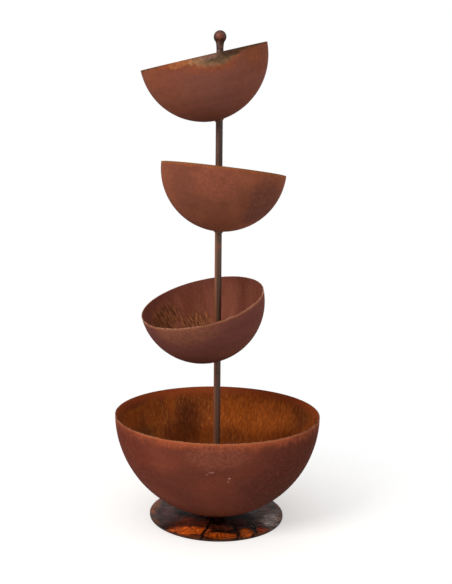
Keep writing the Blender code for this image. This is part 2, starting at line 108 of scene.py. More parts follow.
def bridge(loops, closed):
    """Faces between neighbouring loops of vertex numbers; a loop of one number is a tip."""
    faces = []
    pairs = list(zip(loops, loops[1:]))
    if closed:
        pairs.append((loops[-1], loops[0]))
    for first, second in pairs:
        count = max(len(first), len(second))
        for i in range(count):
            j = (i + 1) % count
            if len(first) == 1 and len(second) == 1:
                break
            if len(first) == 1:
                faces.append((first[0], second[j], second[i]))
            elif len(second) == 1:
                faces.append((first[i], first[j], second[0]))
            else:
                faces.append((first[i], first[j], second[j], second[i]))
    return faces


def loops_of(rings):
    """Vertices, and loops of their numbers, from rings of points."""
    verts, loops = [], []
    for ring in rings:
        loops.append(list(range(len(verts), len(verts) + len(ring))))
        verts += ring
    return verts, loops


def skin(rings, closed=True):
    """Vertices and faces of rings joined in order; closed joins the last to the first."""
    verts, loops = loops_of(rings)
    return verts, bridge(loops, closed)


def lathe(profile, sides=64):
    """The (radius, height) profile turned about Z. One that starts and ends on the axis is filled."""
    turns = [(math.cos(2 * math.pi * i / sides), math.sin(2 * math.pi * i / sides)) for i in range(sides)]
    rings = []
    for radius, height in profile:
        if radius == 0:
            rings.append([Vector((0, 0, height))])
        else:
            rings.append([Vector((radius * c, radius * s, height)) for c, s in turns])
    return skin(rings, closed=profile[0][0] > 0)


def outline(*points):
    """Points given in millimetres, in metres."""
    return [metres(point) for point in points]


def eased(points, radius, steps=3):
    """A closed outline with its corners rounded; corners on the axis stay."""
    result = []
    count = len(points)
    for i, point in enumerate(points):
        corner = Vector(point)
        if corner.x == 0:
            result.append(tuple(corner))
            continue
        before, after = Vector(points[i - 1]), Vector(points[(i + 1) % count])
        reach_in = min(radius, (before - corner).length * 0.45)
        reach_out = min(radius, (after - corner).length * 0.45)
        start = corner + (before - corner).normalized() * reach_in
        end = corner + (after - corner).normalized() * reach_out
        for k in range(steps + 1):
            t = k / steps
            result.append(tuple(start * (1 - t) ** 2 + corner * 2 * t * (1 - t) + end * t**2))
    return result


def arc(radius, start, end, steps, height=0.0):
    """Profile points on a circle about the axis, in degrees from straight down."""
    angles = [math.radians(start + (end - start) * i / steps) for i in range(steps + 1)]
    return [(radius * math.sin(a), height - radius * math.cos(a)) for a in angles]


def rounded_outline(low, high, corner, steps=6):
    """A rounded rectangle as (y, z) points between two corners."""
    points = []
    for turn in range(4):
        right = turn in (0, 3)
        upper = turn in (0, 1)
        centre_y = high[0] - corner if right else low[0] + corner
        centre_z = high[1] - corner if upper else low[1] + corner
        for k in range(steps + 1):
            angle = math.pi / 2 * (turn + k / steps)
            points.append((centre_y + corner * math.cos(angle), centre_z + corner * math.sin(angle)))
    return points


def prism(stations, low, high, corner):
    """Rings of a rounded rectangle along X. A station is (x, inset)."""
    rings = []
    for x, inset in stations:
        section = rounded_outline((low[0] + inset, low[1] + inset), (high[0] - inset, high[1] - inset),
                                  max(corner - inset, 0.5 * MM))
        rings.append([Vector((x, y, z)) for y, z in section])
    return rings


def capped(rings):
    """Rings joined in order and closed at both ends."""
    verts, loops = loops_of(rings)
    return verts, bridge(loops, closed=False) + [tuple(loops[0][::-1]), tuple(loops[-1])]


def sweep(points, radii, sides=32):
    """A tube with an outside and a bore along points, open at both ends."""
    outside, inside = [], []
    tangent = (points[1] - points[0]).normalized()
    side = tangent.cross(Vector((0.3, 0.9, 0.1))).normalized()
    for i, point in enumerate(points):
        tangent = (points[min(i + 1, len(points) - 1)] - points[max(i - 1, 0)]).normalized()
        side = (side - tangent * side.dot(tangent)).normalized()
        other = tangent.cross(side)
        for radius, rings in zip(radii, (outside, inside)):
            rings.append([point + (side * math.cos(a) + other * math.sin(a)) * radius
                          for a in (2 * math.pi * k / sides for k in range(sides))])
    return skin(outside + inside[::-1])


def carved(name, base, added, cuts=()):
    """A part with others added to it and then others cut out of it, as one mesh."""
    obj = linked(name, oriented(mesh_of(name, *base)))
    helpers = []
    steps = [("UNION", part) for part in added] + [("DIFFERENCE", part) for part in cuts]
    for i, (operation, part) in enumerate(steps):
        helper = linked(f"{name}_cut{i}", oriented(mesh_of(f"{name}_cut{i}", *part)))
        helpers.append(helper)
        modifier = obj.modifiers.new(helper.name, "BOOLEAN")
        modifier.operation = operation
        modifier.solver = "EXACT"
        modifier.object = helper
    graph = bpy.context.evaluated_depsgraph_get()
    mesh = bpy.data.meshes.new_from_object(obj.evaluated_get(graph), depsgraph=graph)
    for spent in [obj, *helpers]:
        bpy.data.objects.remove(spent)
    mesh.name = name
    return mesh


def oriented(mesh):
    """The mesh turned right side out."""
    mesh.calc_loop_triangles()
    points = np.array([v.co for v in mesh.vertices])
    corners = np.array([t.vertices[:] for t in mesh.loop_triangles])
    if np.linalg.det(points[corners]).sum() < 0:
        mesh.flip_normals()
    return mesh


# ---- sizes and places from the frame

def cad_points(node):
    mesh = frame["nodes"][node].data
    points = np.empty(len(mesh.vertices) * 3, np.float32)
    mesh.vertices.foreach_get("co", points)
    return points.reshape(-1, 3).astype(float)


def fitted_sphere(points):
    rows = np.column_stack([2 * points, np.ones(len(points))])
    solved = np.linalg.lstsq(rows, (points**2).sum(1), rcond=None)[0]
    centre = solved[:3]
    return centre, math.sqrt(solved[3] + centre @ centre)


def bowl_place(node):
    """The bowl's axes, from its sphere's centre and with the rim at Z = 0; its radius; its wall."""
    points = cad_points(node)
    centre, middle = fitted_sphere(points)
    outer = np.linalg.norm(points - centre, axis=1) > middle
    centre, radius = fitted_sphere(points[outer])
    inner = np.linalg.norm(points[~outer] - centre, axis=1).mean()
    towards = points - centre
    up = -towards.mean(0) / np.linalg.norm(towards.mean(0))
    for _ in range(3):
        rim = towards[np.abs(towards @ up) < 10 * MM]
        fitted = np.linalg.svd(rim)[2][-1]
        up = fitted * np.sign(fitted @ up)
    up = Vector(up)
    across = (Vector((1, 0, 0)) - up * up.x).normalized()
    turn = Matrix((across, up.cross(across), up)).transposed().to_4x4()
    return Matrix.Translation(Vector(centre)) @ turn, radius, radius - inner


low_corner, high_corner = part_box("basin")
BASIN_RADIUS = (high_corner.x - low_corner.x) / 2
BASIN_CENTRE = Vector((0, 0, high_corner.z))
BASIN_FLOOR = low_corner.z
BASIN_WALL = 2 * MM
TUBE_RADIUS = (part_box("lower_riser")[1].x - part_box("lower_riser")[0].x) / 2
TUBE_BORE = 5.4 * MM
BOWL_RADIUS = 125 * MM
PLATE_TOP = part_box("foot_plate")[1].z


# ---- material helpers

def srgb(red, green, blue):
    """A screen colour from 0 to 255 as linear light."""
    parts = [c / 255 for c in (red, green, blue)]
    return (*[c / 12.92 if c <= 0.04045 else ((c + 0.055) / 1.055) ** 2.4 for c in parts], 1.0)


class Graph:
    """Builds one material's nodes. Each call adds nodes and gives back an output.

    Colours are given as on a screen, from 0 to 255.
    """

    def __init__(self, name, seed=0.0, cad=False):
        self.material = bpy.data.materials.new(name)
        self.material.use_nodes = True
        self.tree = self.material.node_tree
        self.shader = self.tree.nodes["Principled BSDF"]
        if cad:
            self.here = self.node("TexCoord", {}).outputs["Object"]
        else:
            self.here = self.node("Attribute", {}, attribute_name="local").outputs["Vector"]
        self.seeded = self.vector("ADD", self.here, (seed, seed * 1.7, seed * 0.6))
        self.x, self.y, self.z = self.node("SeparateXYZ", {"Vector": self.here}).outputs

    def node(self, kind, inputs, **settings):
        made = self.tree.nodes.new("ShaderNode" + kind)
        for key, value in settings.items():
            setattr(made, key, value)
        for key, value in inputs.items():
            self.feed(made.inputs[key], value)
        return made

    def feed(self, socket, value):
        if isinstance(value, bpy.types.NodeSocket):
            self.tree.links.new(value, socket)
        elif socket.type == "RGBA":
            socket.default_value = srgb(*value)
        else:
            socket.default_value = value

    def math(self, operation, first, second=0.0, clamp=False):
        return self.node("Math", {0: first, 1: second}, operation=operation, use_clamp=clamp).outputs[0]

    def times(self, first, second):
        return self.math("MULTIPLY", first, second)

    def plus(self, first, second):
        return self.math("ADD", first, second)

    def vector(self, operation, first, second):
        return self.node("VectorMath", {0: first, 1: second}, operation=operation).outputs[0]

    def length(self, at):
        return self.node("VectorMath", {0: at}, operation="LENGTH").outputs["Value"]

    def noise(self, scale, detail=3.0, roughness=0.55, distortion=0.0, at=None):
        inputs = {"Vector": self.seeded if at is None else at, "Scale": scale, "Detail": detail,
                  "Roughness": roughness, "Distortion": distortion}
        return self.node("TexNoise", inputs).outputs[0]

    def cracks(self, scale, at):
        """Distance to the nearest edge between cells."""
        inputs = {"Vector": at, "Scale": scale}
        return self.node("TexVoronoi", inputs, feature="DISTANCE_TO_EDGE").outputs["Distance"]

    def step(self, value, low, high, to_low=0.0, to_high=1.0):
        """A smooth change from to_low at low to to_high at high."""
        inputs = {"Value": value, "From Min": low, "From Max": high, "To Min": to_low, "To Max": to_high}
        return self.node("MapRange", inputs, interpolation_type="SMOOTHSTEP").outputs[0]

    def mix(self, share, first, second, blend="MIX"):
        made = self.node("Mix", {0: share, 6: first, 7: second}, data_type="RGBA", blend_type=blend)
        return made.outputs[2]

    def grey(self, value):
        """A number as a grey colour."""
        return self.node("CombineColor", {0: value, 1: value, 2: value}).outputs[0]

    def shaded(self, colour, value):
        """The colour made lighter or darker by a number."""
        return self.mix(1.0, colour, self.grey(value), "MULTIPLY")

    def shade(self, colour, pattern, low, high, dark, light):
        """The colour shaded by a pattern: dark at low, light at high."""
        return self.shaded(colour, self.step(pattern, low, high, dark, light))

    def wandering(self, value, pattern, width):
        """The value pushed up and down by a pattern, over a width."""
        return self.plus(value, self.times(self.math("SUBTRACT", pattern, 0.5), width))

    def stretched(self, x, y, z):
        return self.vector("MULTIPLY", self.seeded, (x, y, z))

    def spun(self, round_scale, up_scale, inner=1e-4):
        """Coordinates that run round the Z axis, so that a pattern can streak up and down.

        Within inner of the axis they stay flat, so the streaks do not draw together there.
        """
        across = self.math("SQRT", self.plus(self.times(self.x, self.x),
                                             self.times(self.y, self.y)))
        across = self.math("MAXIMUM", across, inner)
        east = self.times(self.math("DIVIDE", self.x, across), round_scale)
        north = self.times(self.math("DIVIDE", self.y, across), round_scale)
        up = self.times(self.z, up_scale)
        return self.node("CombineXYZ", {0: east, 1: north, 2: up}).outputs[0]

    def from_line(self, at, start, end):
        """The distance from a straight line between two points."""
        along = Vector(end) - Vector(start)
        offset = self.vector("SUBTRACT", at, start)
        inputs = {0: offset, 1: tuple(along)}
        run = self.node("VectorMath", inputs, operation="DOT_PRODUCT").outputs["Value"]
        share = self.math("DIVIDE", run, along.length_squared, clamp=True)
        nearest = self.node("VectorMath", {0: tuple(along), "Scale": share}, operation="SCALE").outputs[0]
        gap = self.vector("MULTIPLY", self.vector("SUBTRACT", offset, nearest), (1, 1, 0))
        return self.length(gap)

    def near(self, centre, reach, ragged=0.0, scale=70):
        """1 at the centre, falling to 0 at reach. reach is a size along each axis."""
        offset = self.vector("SUBTRACT", self.here, centre)
        scaled = self.vector("DIVIDE", offset, reach)
        distance = self.length(scaled)
        if ragged:
            distance = self.plus(distance, self.times(self.noise(scale, 5, 0.68), ragged))
            distance = self.math("SUBTRACT", distance, ragged / 2)
        return self.step(distance, 1.0, 0.45)

    def bump(self, height, distance, strength=1.0, under=None):
        inputs = {"Height": height, "Distance": distance, "Strength": strength}
        if under is not None:
            inputs["Normal"] = under
        return self.node("Bump", inputs).outputs[0]

    def done(self, colour, roughness, normal=None, **fixed):
        """Connects the shader. fixed holds values that are the same all over."""
        self.feed(self.shader.inputs["Base Color"], colour)
        self.feed(self.shader.inputs["Roughness"], roughness)
        if normal is not None:
            self.feed(self.shader.inputs["Normal"], normal)
        for key, value in fixed.items():
            self.shader.inputs[key.replace("_", " ")].default_value = value
        return self.material


# ---- materials

def outer_rust(name, seed, radius, red, purple, band, band_depth, line, foot, stains_and_painted_light=()):
    """Matt rust on a bowl's outside: soft blotches, a mottled band, a thin line under the rim, listed
    stains and painted light, and painted shade towards the bottom.

    foot is how bright the lowest part is, as a share: painted shade.
    """
    g = Graph(name, seed)
    depth = g.times(g.z, -1)
    drift = g.noise(8, 3, 0.5, 0.4)
    colour = g.mix(g.step(drift, 0.36, 0.66), purple, red)
    rings = g.noise(1, 4, 0.6, at=g.stretched(7, 7, 60))
    colour = g.shade(colour, rings, 0.25, 0.75, 0.93, 1.07)
    mottle = g.noise(85, 5, 0.62, 0.3)
    flakes = g.noise(190, 5, 0.66, 0.3)
    edge = g.wandering(depth, g.noise(38, 4, 0.6), band_depth * 1.3)
    in_band = g.step(edge, band_depth, MM)
    in_band = g.times(in_band, g.step(flakes, 0.36, 0.6, 0.5, 1.0))
    colour = g.mix(in_band, colour, band)
    ragged = g.wandering(depth, flakes, 8 * MM)
    colour = g.mix(g.step(ragged, 4.5 * MM, 2 * MM, 0.0, 0.75), colour, line)
    colour = with_stains_and_painted_light(g, colour, stains_and_painted_light, flakes, radius)
    # painted shade: darker towards the bottom, down to foot at the lowest part
    colour = g.shade(colour, depth, 40 * MM, 170 * MM, 1.0, foot)
    colour = g.shade(colour, mottle, 0.3, 0.72, 0.94, 1.06)
    grain = g.noise(620, 4, 0.6)
    colour = g.shade(colour, grain, 0.25, 0.75, 0.9, 1.1)
    specks = g.noise(300, 2, 0.5)
    rare = g.step(g.noise(16, 3, 0.6), 0.45, 0.62)
    colour = g.mix(g.times(g.step(specks, 0.64, 0.74), g.times(rare, 0.6)), colour, (52, 36, 26))
    colour = g.mix(g.times(g.step(specks, 0.34, 0.26), g.times(rare, 0.4)), colour, (168, 92, 52))
    bump = g.bump(grain, 0.15 * MM, 0.4, g.bump(mottle, 0.4 * MM, 0.25))
    return g.done(colour, g.step(mottle, 0.2, 0.8, 0.95, 0.8), bump, Specular_IOR_Level=0.05)


def placed(place, reach, radius):
    """A patch's centre and reach in metres, from millimetres.

    A place of two numbers is an azimuth in degrees and a depth below the rim, on a sphere of this radius.
    """
    if len(place) == 3:
        return metres(place), metres(reach)
    azimuth, depth = math.radians(place[0]), place[1] * MM
    level = math.sqrt(radius**2 - depth**2)
    return (level * math.cos(azimuth), level * math.sin(azimuth), -depth), metres(reach)


def with_stains_and_painted_light(g, colour, stains_and_painted_light, flakes, radius):
    """Patches of (place, reach, colour, strength, raggedness) over the rust, mottled by flakes: stains,
    and painted shade and painted light where a caller lists them.
    """
    for place, reach, tint, strength, ragged in stains_and_painted_light:
        spread = g.times(g.near(*placed(place, reach, radius), ragged, 120), strength)
        colour = g.mix(spread, colour, g.shade(tint, flakes, 0.32, 0.68, 0.72, 1.28))
    return colour


def inner_rust(name, seed, radius, rim, body, brown, gold, streak, stains_and_painted_light=(), streaked=()):
    """Rust where water ran down: fine upright streaks and flecks, redder towards the rim, and listed
    patches of stain and of painted shade.

    streak is how strongly the gold flecks show; streaked lists (place, reach) of patches full of them.
    """
    g = Graph(name, seed)
    depth = g.times(g.z, -1)
    fine = g.noise(1, 4, 0.62, 0.1, at=g.spun(60, 90, 50 * MM))
    long = g.noise(1, 4, 0.6, 0.1, at=g.spun(34, 36, 50 * MM))
    wide = g.noise(1, 3, 0.55, 0.3, at=g.spun(3.2, 9, 50 * MM))
    colour = g.mix(g.step(wide, 0.34, 0.62), brown, body)
    colour = g.mix(g.times(g.step(fine, 0.46, 0.66), streak), colour, gold)
    for place, reach in streaked:
        runs = g.mix(g.step(fine, 0.4, 0.6), (72, 38, 22), (160, 100, 64))
        colour = g.mix(g.times(g.near(*placed(place, reach, radius), 1.0, 60), 0.85), colour, runs)
    colour = with_stains_and_painted_light(g, colour, stains_and_painted_light, fine, radius)
    edge = g.wandering(depth, long, 24 * MM)
    colour = g.mix(g.step(edge, 26 * MM, 2 * MM), colour, rim)
    grain = g.noise(420, 4, 0.65)
    colour = g.shade(colour, grain, 0.25, 0.75, 0.84, 1.14)
    colour = g.shade(colour, long, 0.3, 0.7, 0.92, 1.08)
    bump = g.bump(grain, 0.2 * MM, 0.5, g.bump(fine, 0.3 * MM, 0.4))
    return g.done(colour, g.step(fine, 0.2, 0.8, 0.95, 0.8), bump, Specular_IOR_Level=0.06)


def cut_edge(name, seed, pale):
    """The thin rim: nearly black rust, with patches of a given colour in places: worn metal, and where
    that colour is pale, a painted highlight.
    """
    g = Graph(name, seed)
    # where the lip takes the given colour: wear, and on the pale lips painted highlight as well
    wear_and_highlight = g.step(g.noise(26, 4, 0.6), 0.36, 0.56)
    wear_and_highlight = g.times(wear_and_highlight, g.step(g.noise(240, 3, 0.6), 0.35, 0.6))
    colour = g.mix(wear_and_highlight, (84, 44, 32), pale)
    grain = g.noise(700, 3, 0.6)
    colour = g.shade(colour, grain, 0.25, 0.75, 0.8, 1.15)
    return g.done(colour, 0.62, g.bump(grain, 0.15 * MM, 0.5), Specular_IOR_Level=0.15)


def riser_rust(name, seed, pale, brown, streak=(160, 94, 60)):
    """Worn tube: grey-brown, with a lighter rust-coloured strip of painted light down its left and a dark
    strip of painted shade and reflection down its right.
    """
    g = Graph(name, seed)
    long = g.noise(1, 4, 0.6, at=g.spun(2.2, 5))
    blotch = g.noise(48, 4, 0.62, 0.5)
    wander = g.wandering(g.x, long, 8 * MM)
    colour = g.mix(g.step(long, 0.36, 0.62), brown, pale)
    # painted light: a lighter strip in the streak colour down the tube's left side
    colour = g.mix(g.step(wander, -1.5 * MM, -5 * MM, 0.0, 0.75), colour, streak)
    # painted shade and reflection: a dark strip down the tube's right side
    colour = g.mix(g.step(wander, 2.5 * MM, 6 * MM, 0.0, 0.75), colour, (62, 44, 40))
    colour = g.mix(g.step(blotch, 0.55, 0.72, 0.0, 0.6), colour, (126, 70, 44))
    colour = g.mix(g.step(blotch, 0.42, 0.3, 0.0, 0.5), colour, (58, 42, 36))
    grain = g.noise(500, 4, 0.6)
    colour = g.shade(colour, grain, 0.25, 0.75, 0.82, 1.16)
    bump = g.bump(grain, 0.15 * MM, 0.6)
    return g.done(colour, g.step(long, 0.3, 0.7, 0.62, 0.42), bump, Metallic=0.25, Specular_IOR_Level=0.4)


def weld_rust(name):
    """Lumpy weld metal, mottled from straw to burnt brown."""
    g = Graph(name, 3.0)
    lumps = g.noise(260, 4, 0.6, 0.5)
    colour = g.mix(g.step(lumps, 0.36, 0.62), (70, 45, 36), (150, 104, 78))
    colour = g.mix(g.step(g.noise(120, 3, 0.6), 0.55, 0.68, 0, 0.7), colour, (120, 62, 38))
    return g.done(colour, 0.55, g.bump(lumps, 0.4 * MM, 0.8), Metallic=0.3)


def wet_plate(name):
    """Wet plate: near-black scale, a painted grey sheen of reflected light at the sides, orange rust at
    the front, and dark cracks.
    """
    g = Graph(name, 1.3)
    warp = {"Vector": g.here, "Scale": 34.0, "Detail": 4.0, "Roughness": 0.6}
    offset = g.vector("SUBTRACT", g.node("TexNoise", warp).outputs[1], (0.5, 0.5, 0.5))
    bent = g.vector("ADD", g.here, g.vector("MULTIPLY", offset, (0.034, 0.034, 0.0)))
    scale = g.noise(30, 5, 0.65, 0.6)
    streaks = g.noise(1, 4, 0.6, 0.3, at=g.spun(26, 1))
    across = g.length(g.here)
    veins = g.noise(120, 5, 0.68, 1.2)
    colour = g.mix(g.step(scale, 0.4, 0.62), (34, 14, 8), (84, 36, 20))
    for x, y, wide, deep, tint, strength, ragged in PLATE_PATCHES:
        centre, reach = (x * MM, y * MM, PLATE_TOP), metres((wide, deep, 20))
        spread = g.times(g.near(centre, reach, ragged, 85), strength)
        spread = g.times(spread, g.step(veins, 0.34, 0.5, 0.45, 1.0))
        colour = g.mix(spread, colour, g.shade(tint, scale, 0.3, 0.68, 0.6, 1.3))
    colour = g.shade(colour, streaks, 0.32, 0.68, 0.6, 1.35)
    colour = g.shade(colour, veins, 0.3, 0.7, 0.8, 1.2)
    ribs = g.noise(1, 4, 0.62, 0.6, at=g.stretched(50, 190, 1))
    colour = g.shade(colour, ribs, 0.36, 0.64, 0.68, 1.3)
    left = g.step(g.x, -60 * MM, -110 * MM)
    rim_rust = g.times(g.step(across, 125 * MM, 133 * MM), g.step(g.noise(18, 3, 0.6), 0.4, 0.56))
    colour = g.mix(g.times(rim_rust, g.plus(g.times(left, 0.6), 0.25)), colour, (168, 88, 36))
    colour = g.mix(g.step(across, 136.8 * MM, 138.4 * MM, 0.0, 0.8), colour, (46, 30, 26))
    lines = g.times(g.step(g.cracks(20, bent), 0.06, 0.02), 0.55)
    for start, end, width in PLATE_CRACKS:
        away = g.from_line(bent, (*metres(start), PLATE_TOP), (*metres(end), PLATE_TOP))
        line = g.step(away, width * MM, width * MM * 0.35)
        lines = g.math("MAXIMUM", lines, line)
    colour = g.mix(lines, colour, (12, 6, 5))
    grain = g.noise(480, 3, 0.6)
    colour = g.shade(colour, grain, 0.25, 0.75, 0.85, 1.15)
    bump = g.bump(scale, 0.8 * MM, 0.35, g.bump(lines, -0.5 * MM, 0.6))
    roughness = g.step(g.noise(18, 3, 0.5), 0.35, 0.65, 0.22, 0.5)
    return g.done(colour, roughness, bump, Coat_Weight=0.06, Coat_Roughness=0.25, Specular_IOR_Level=0.12)


# (x, y, reach in x, reach in y, colour, strength, raggedness), in millimetres on the plate
PLATE_PATCHES = (
    # painted reflection: the grey wet sheen on the left, and its lighter streak
    (-106, -26, 34, 62, (88, 50, 48), 0.9, 1.0),
    (-98, -20, 22, 50, (114, 84, 80), 0.5, 1.6),
    (-127, 20, 14, 36, (140, 74, 34), 0.7, 1.2),
    (-122, -44, 14, 36, (84, 58, 36), 0.6, 1.5),
    # painted reflection: the grey wet sheen on the right, and its lighter streak
    (110, -22, 42, 70, (98, 68, 60), 0.9, 0.9),
    (113, -40, 24, 46, (184, 164, 154), 0.7, 1.5),
    (80, 88, 60, 40, (90, 52, 38), 0.8, 1.0),
    (-70, 92, 70, 36, (104, 50, 26), 0.7, 1.0),
    (-52, -60, 58, 40, (120, 44, 18), 0.8, 1.2),
    (-58, -98, 52, 26, (216, 92, 20), 1.0, 0.9),
    (12, -119, 38, 19, (204, 88, 22), 1.0, 0.9),
    (61, -105, 18, 26, (196, 90, 26), 1.0, 0.7),
    (92, -88, 16, 22, (140, 50, 18), 0.9, 1.0),
    (18, -80, 26, 16, (104, 48, 32), 0.9, 1.2),
    (20, 112, 50, 22, (180, 82, 26), 0.9, 0.9),
)
# (start, end, half width) of the widest cracks between the rust plates, in millimetres
PLATE_CRACKS = (
    ((-12, -40), (-20, -84), 4),
    ((-20, -84), (-31, -134), 4),
    ((-24, -100), (40, -98), 3),
    ((42, -80), (40, -136), 4),
    ((42, -78), (82, -66), 3),
    ((80, -66), (76, -120), 3.5),
)


def moulded(name, colour, roughness, cad=False):
    """Moulded plastic or rubber: a fine pebbled skin, with lime dust in the hollows."""
    g = Graph(name, 0.4, cad)
    pebbles = g.noise(1400, 3, 0.6)
    dust = g.step(g.noise(60, 5, 0.65, 0.4), 0.5, 0.72, 0.0, 0.35)
    tinted = g.mix(dust, colour, (120, 104, 90))
    tinted = g.shade(tinted, pebbles, 0.3, 0.7, 0.9, 1.1)
    rough = g.step(g.noise(90, 3, 0.6), 0.3, 0.7, roughness - 0.06, roughness + 0.08)
    return g.done(tinted, rough, g.bump(pebbles, 0.05 * MM, 0.5))


def bright_metal(name, colour, roughness, cad=False):
    """Turned metal: fine rings of machining, water spots, and a little tarnish."""
    g = Graph(name, 0.9, cad)
    rings = g.noise(1, 3, 0.6, at=g.stretched(60, 60, 1800))
    spots = g.step(g.noise(70, 4, 0.65, 0.4), 0.52, 0.68, 0.0, 0.6)
    tinted = g.mix(spots, colour, (112, 84, 62))
    tinted = g.shade(tinted, rings, 0.3, 0.7, 0.9, 1.08)
    rough = g.step(rings, 0.3, 0.7, roughness - 0.05, roughness + 0.1)
    return g.done(tinted, rough, g.bump(rings, 0.03 * MM, 0.4), Metallic=1.0)


def clear_hose(name):
    """Milky soft hose with algae inside."""
    g = Graph(name, 0.2)
    algae = g.noise(1, 4, 0.65, at=g.stretched(90, 90, 90))
    tinted = g.mix(g.step(algae, 0.45, 0.66), (176, 182, 170), (104, 112, 74))
    tinted = g.shade(tinted, g.noise(420, 3, 0.6), 0.3, 0.7, 0.92, 1.06)
    rough = g.step(algae, 0.3, 0.7, 0.22, 0.36)
    return g.done(tinted, rough, g.bump(algae, 0.1 * MM, 0.3), Transmission_Weight=0.25, IOR=1.5,
                  Subsurface_Weight=0.2, Subsurface_Scale=1.5 * MM)


def speckled(name, base, fleck, scale, roughness, cad=True, **fixed):
    """A dense material with fine flecks: resin, ferrite, ceramic."""
    g = Graph(name, 0.7, cad)
    flecks = g.noise(scale, 4, 0.65)
    tinted = g.mix(g.step(flecks, 0.45, 0.65), base, fleck)
    rough = g.step(flecks, 0.3, 0.7, roughness + 0.08, roughness - 0.04)
    return g.done(tinted, rough, g.bump(flecks, 0.04 * MM, 0.4), **fixed)


# ---- shells

# (share of the wall from the outside in, drop in millimetres) round the rim
LIP = ((0.0, 0.45), (0.12, 0.2), (0.35, 0.0), (0.65, 0.0), (0.88, 0.2), (1.0, 0.45))


def dented(direction, seed):
    """How far a pressed shell falls inside its sphere here, in metres."""
    wide = noise.noise(direction * 2.1 + Vector((seed, 0, 0)))
    small = noise.noise(direction * 7.0 + Vector((0, seed, 0)))
    return (0.5 + 0.5 * wide) * 0.45 * MM + (0.5 + 0.5 * small) * 0.12 * MM


def shell(place, radius, wall, hole_radius, rows, columns, seed, floor=None):
    """A thin half sphere, holed on the frame's Z axis: vertices, then outside, inside and lip faces.

    floor, if given, is the height of the flat that the outside is pressed to.
    """
    back = place.inverted()
    centre = place.translation
    up = (place.to_3x3() @ Vector((0, 0, 1))).normalized()
    turns = [2 * math.pi * i / columns for i in range(columns)]
    sides = []
    for reach, lift in ((radius, 0.0), (radius - wall, wall)):
        flat = -centre.xy
        middle = Vector((flat.x, flat.y, -math.sqrt(reach**2 - flat.length_squared))).normalized()
        rings = [[] for _ in range(rows + 1)]
        for turn in turns:
            spot = flat + Vector((math.cos(turn), math.sin(turn))) * hole_radius
            edge = Vector((spot.x, spot.y, -math.sqrt(reach**2 - spot.length_squared))).normalized()
            rim = edge - middle
            rim = (rim - up * rim.dot(up)).normalized()
            span = edge.angle(rim)
            for k, ring in enumerate(rings):
                share = k / rows
                direction = edge * math.sin((1 - share) * span) + rim * math.sin(share * span)
                direction /= math.sin(span)
                fade = min(1.0, share * 6)
                point = centre + direction * (reach - dented(direction, seed) * fade)
                if k == rows:
                    point -= up * LIP[0][1] * MM
                if floor is not None:
                    point.z = max(point.z, floor + lift)
                ring.append(point)
        sides.append(rings)
    outside, inside = sides
    lip = []
    for share, drop in LIP[1:-1]:
        ring = []
        for a, b in zip(outside[-1], inside[-1]):
            ring.append(a.lerp(b, share) + up * (LIP[0][1] - drop) * MM)
        lip.append(ring)
    verts, loops = loops_of(outside + lip + inside[::-1])
    verts = [back @ v for v in verts]
    parts = (loops[:rows + 1], loops[rows:rows + len(lip) + 2], loops[rows + len(lip) + 1:])
    faces = [bridge(part, closed=False) for part in parts]
    hole = bridge([loops[-1], loops[0]], closed=False)
    return verts, faces[0], faces[2] + hole, faces[1]


def add_shell(name, finishes, body, place, radius, wall, hole_radius, rows, columns, seed, floor=None):
    """A shell with its outside, inside and lip in three finishes."""
    verts, outer, inner, lip = shell(place, radius, wall, hole_radius, rows, columns, seed, floor)
    mesh = mesh_of(f"{name}_shell", verts, outer + inner + lip)
    mesh.polygons.foreach_set("material_index", [0] * len(outer) + [1] * len(inner) + [2] * len(lip))
    oriented(mesh)
    add_piece(mesh, finishes, body, name, place)


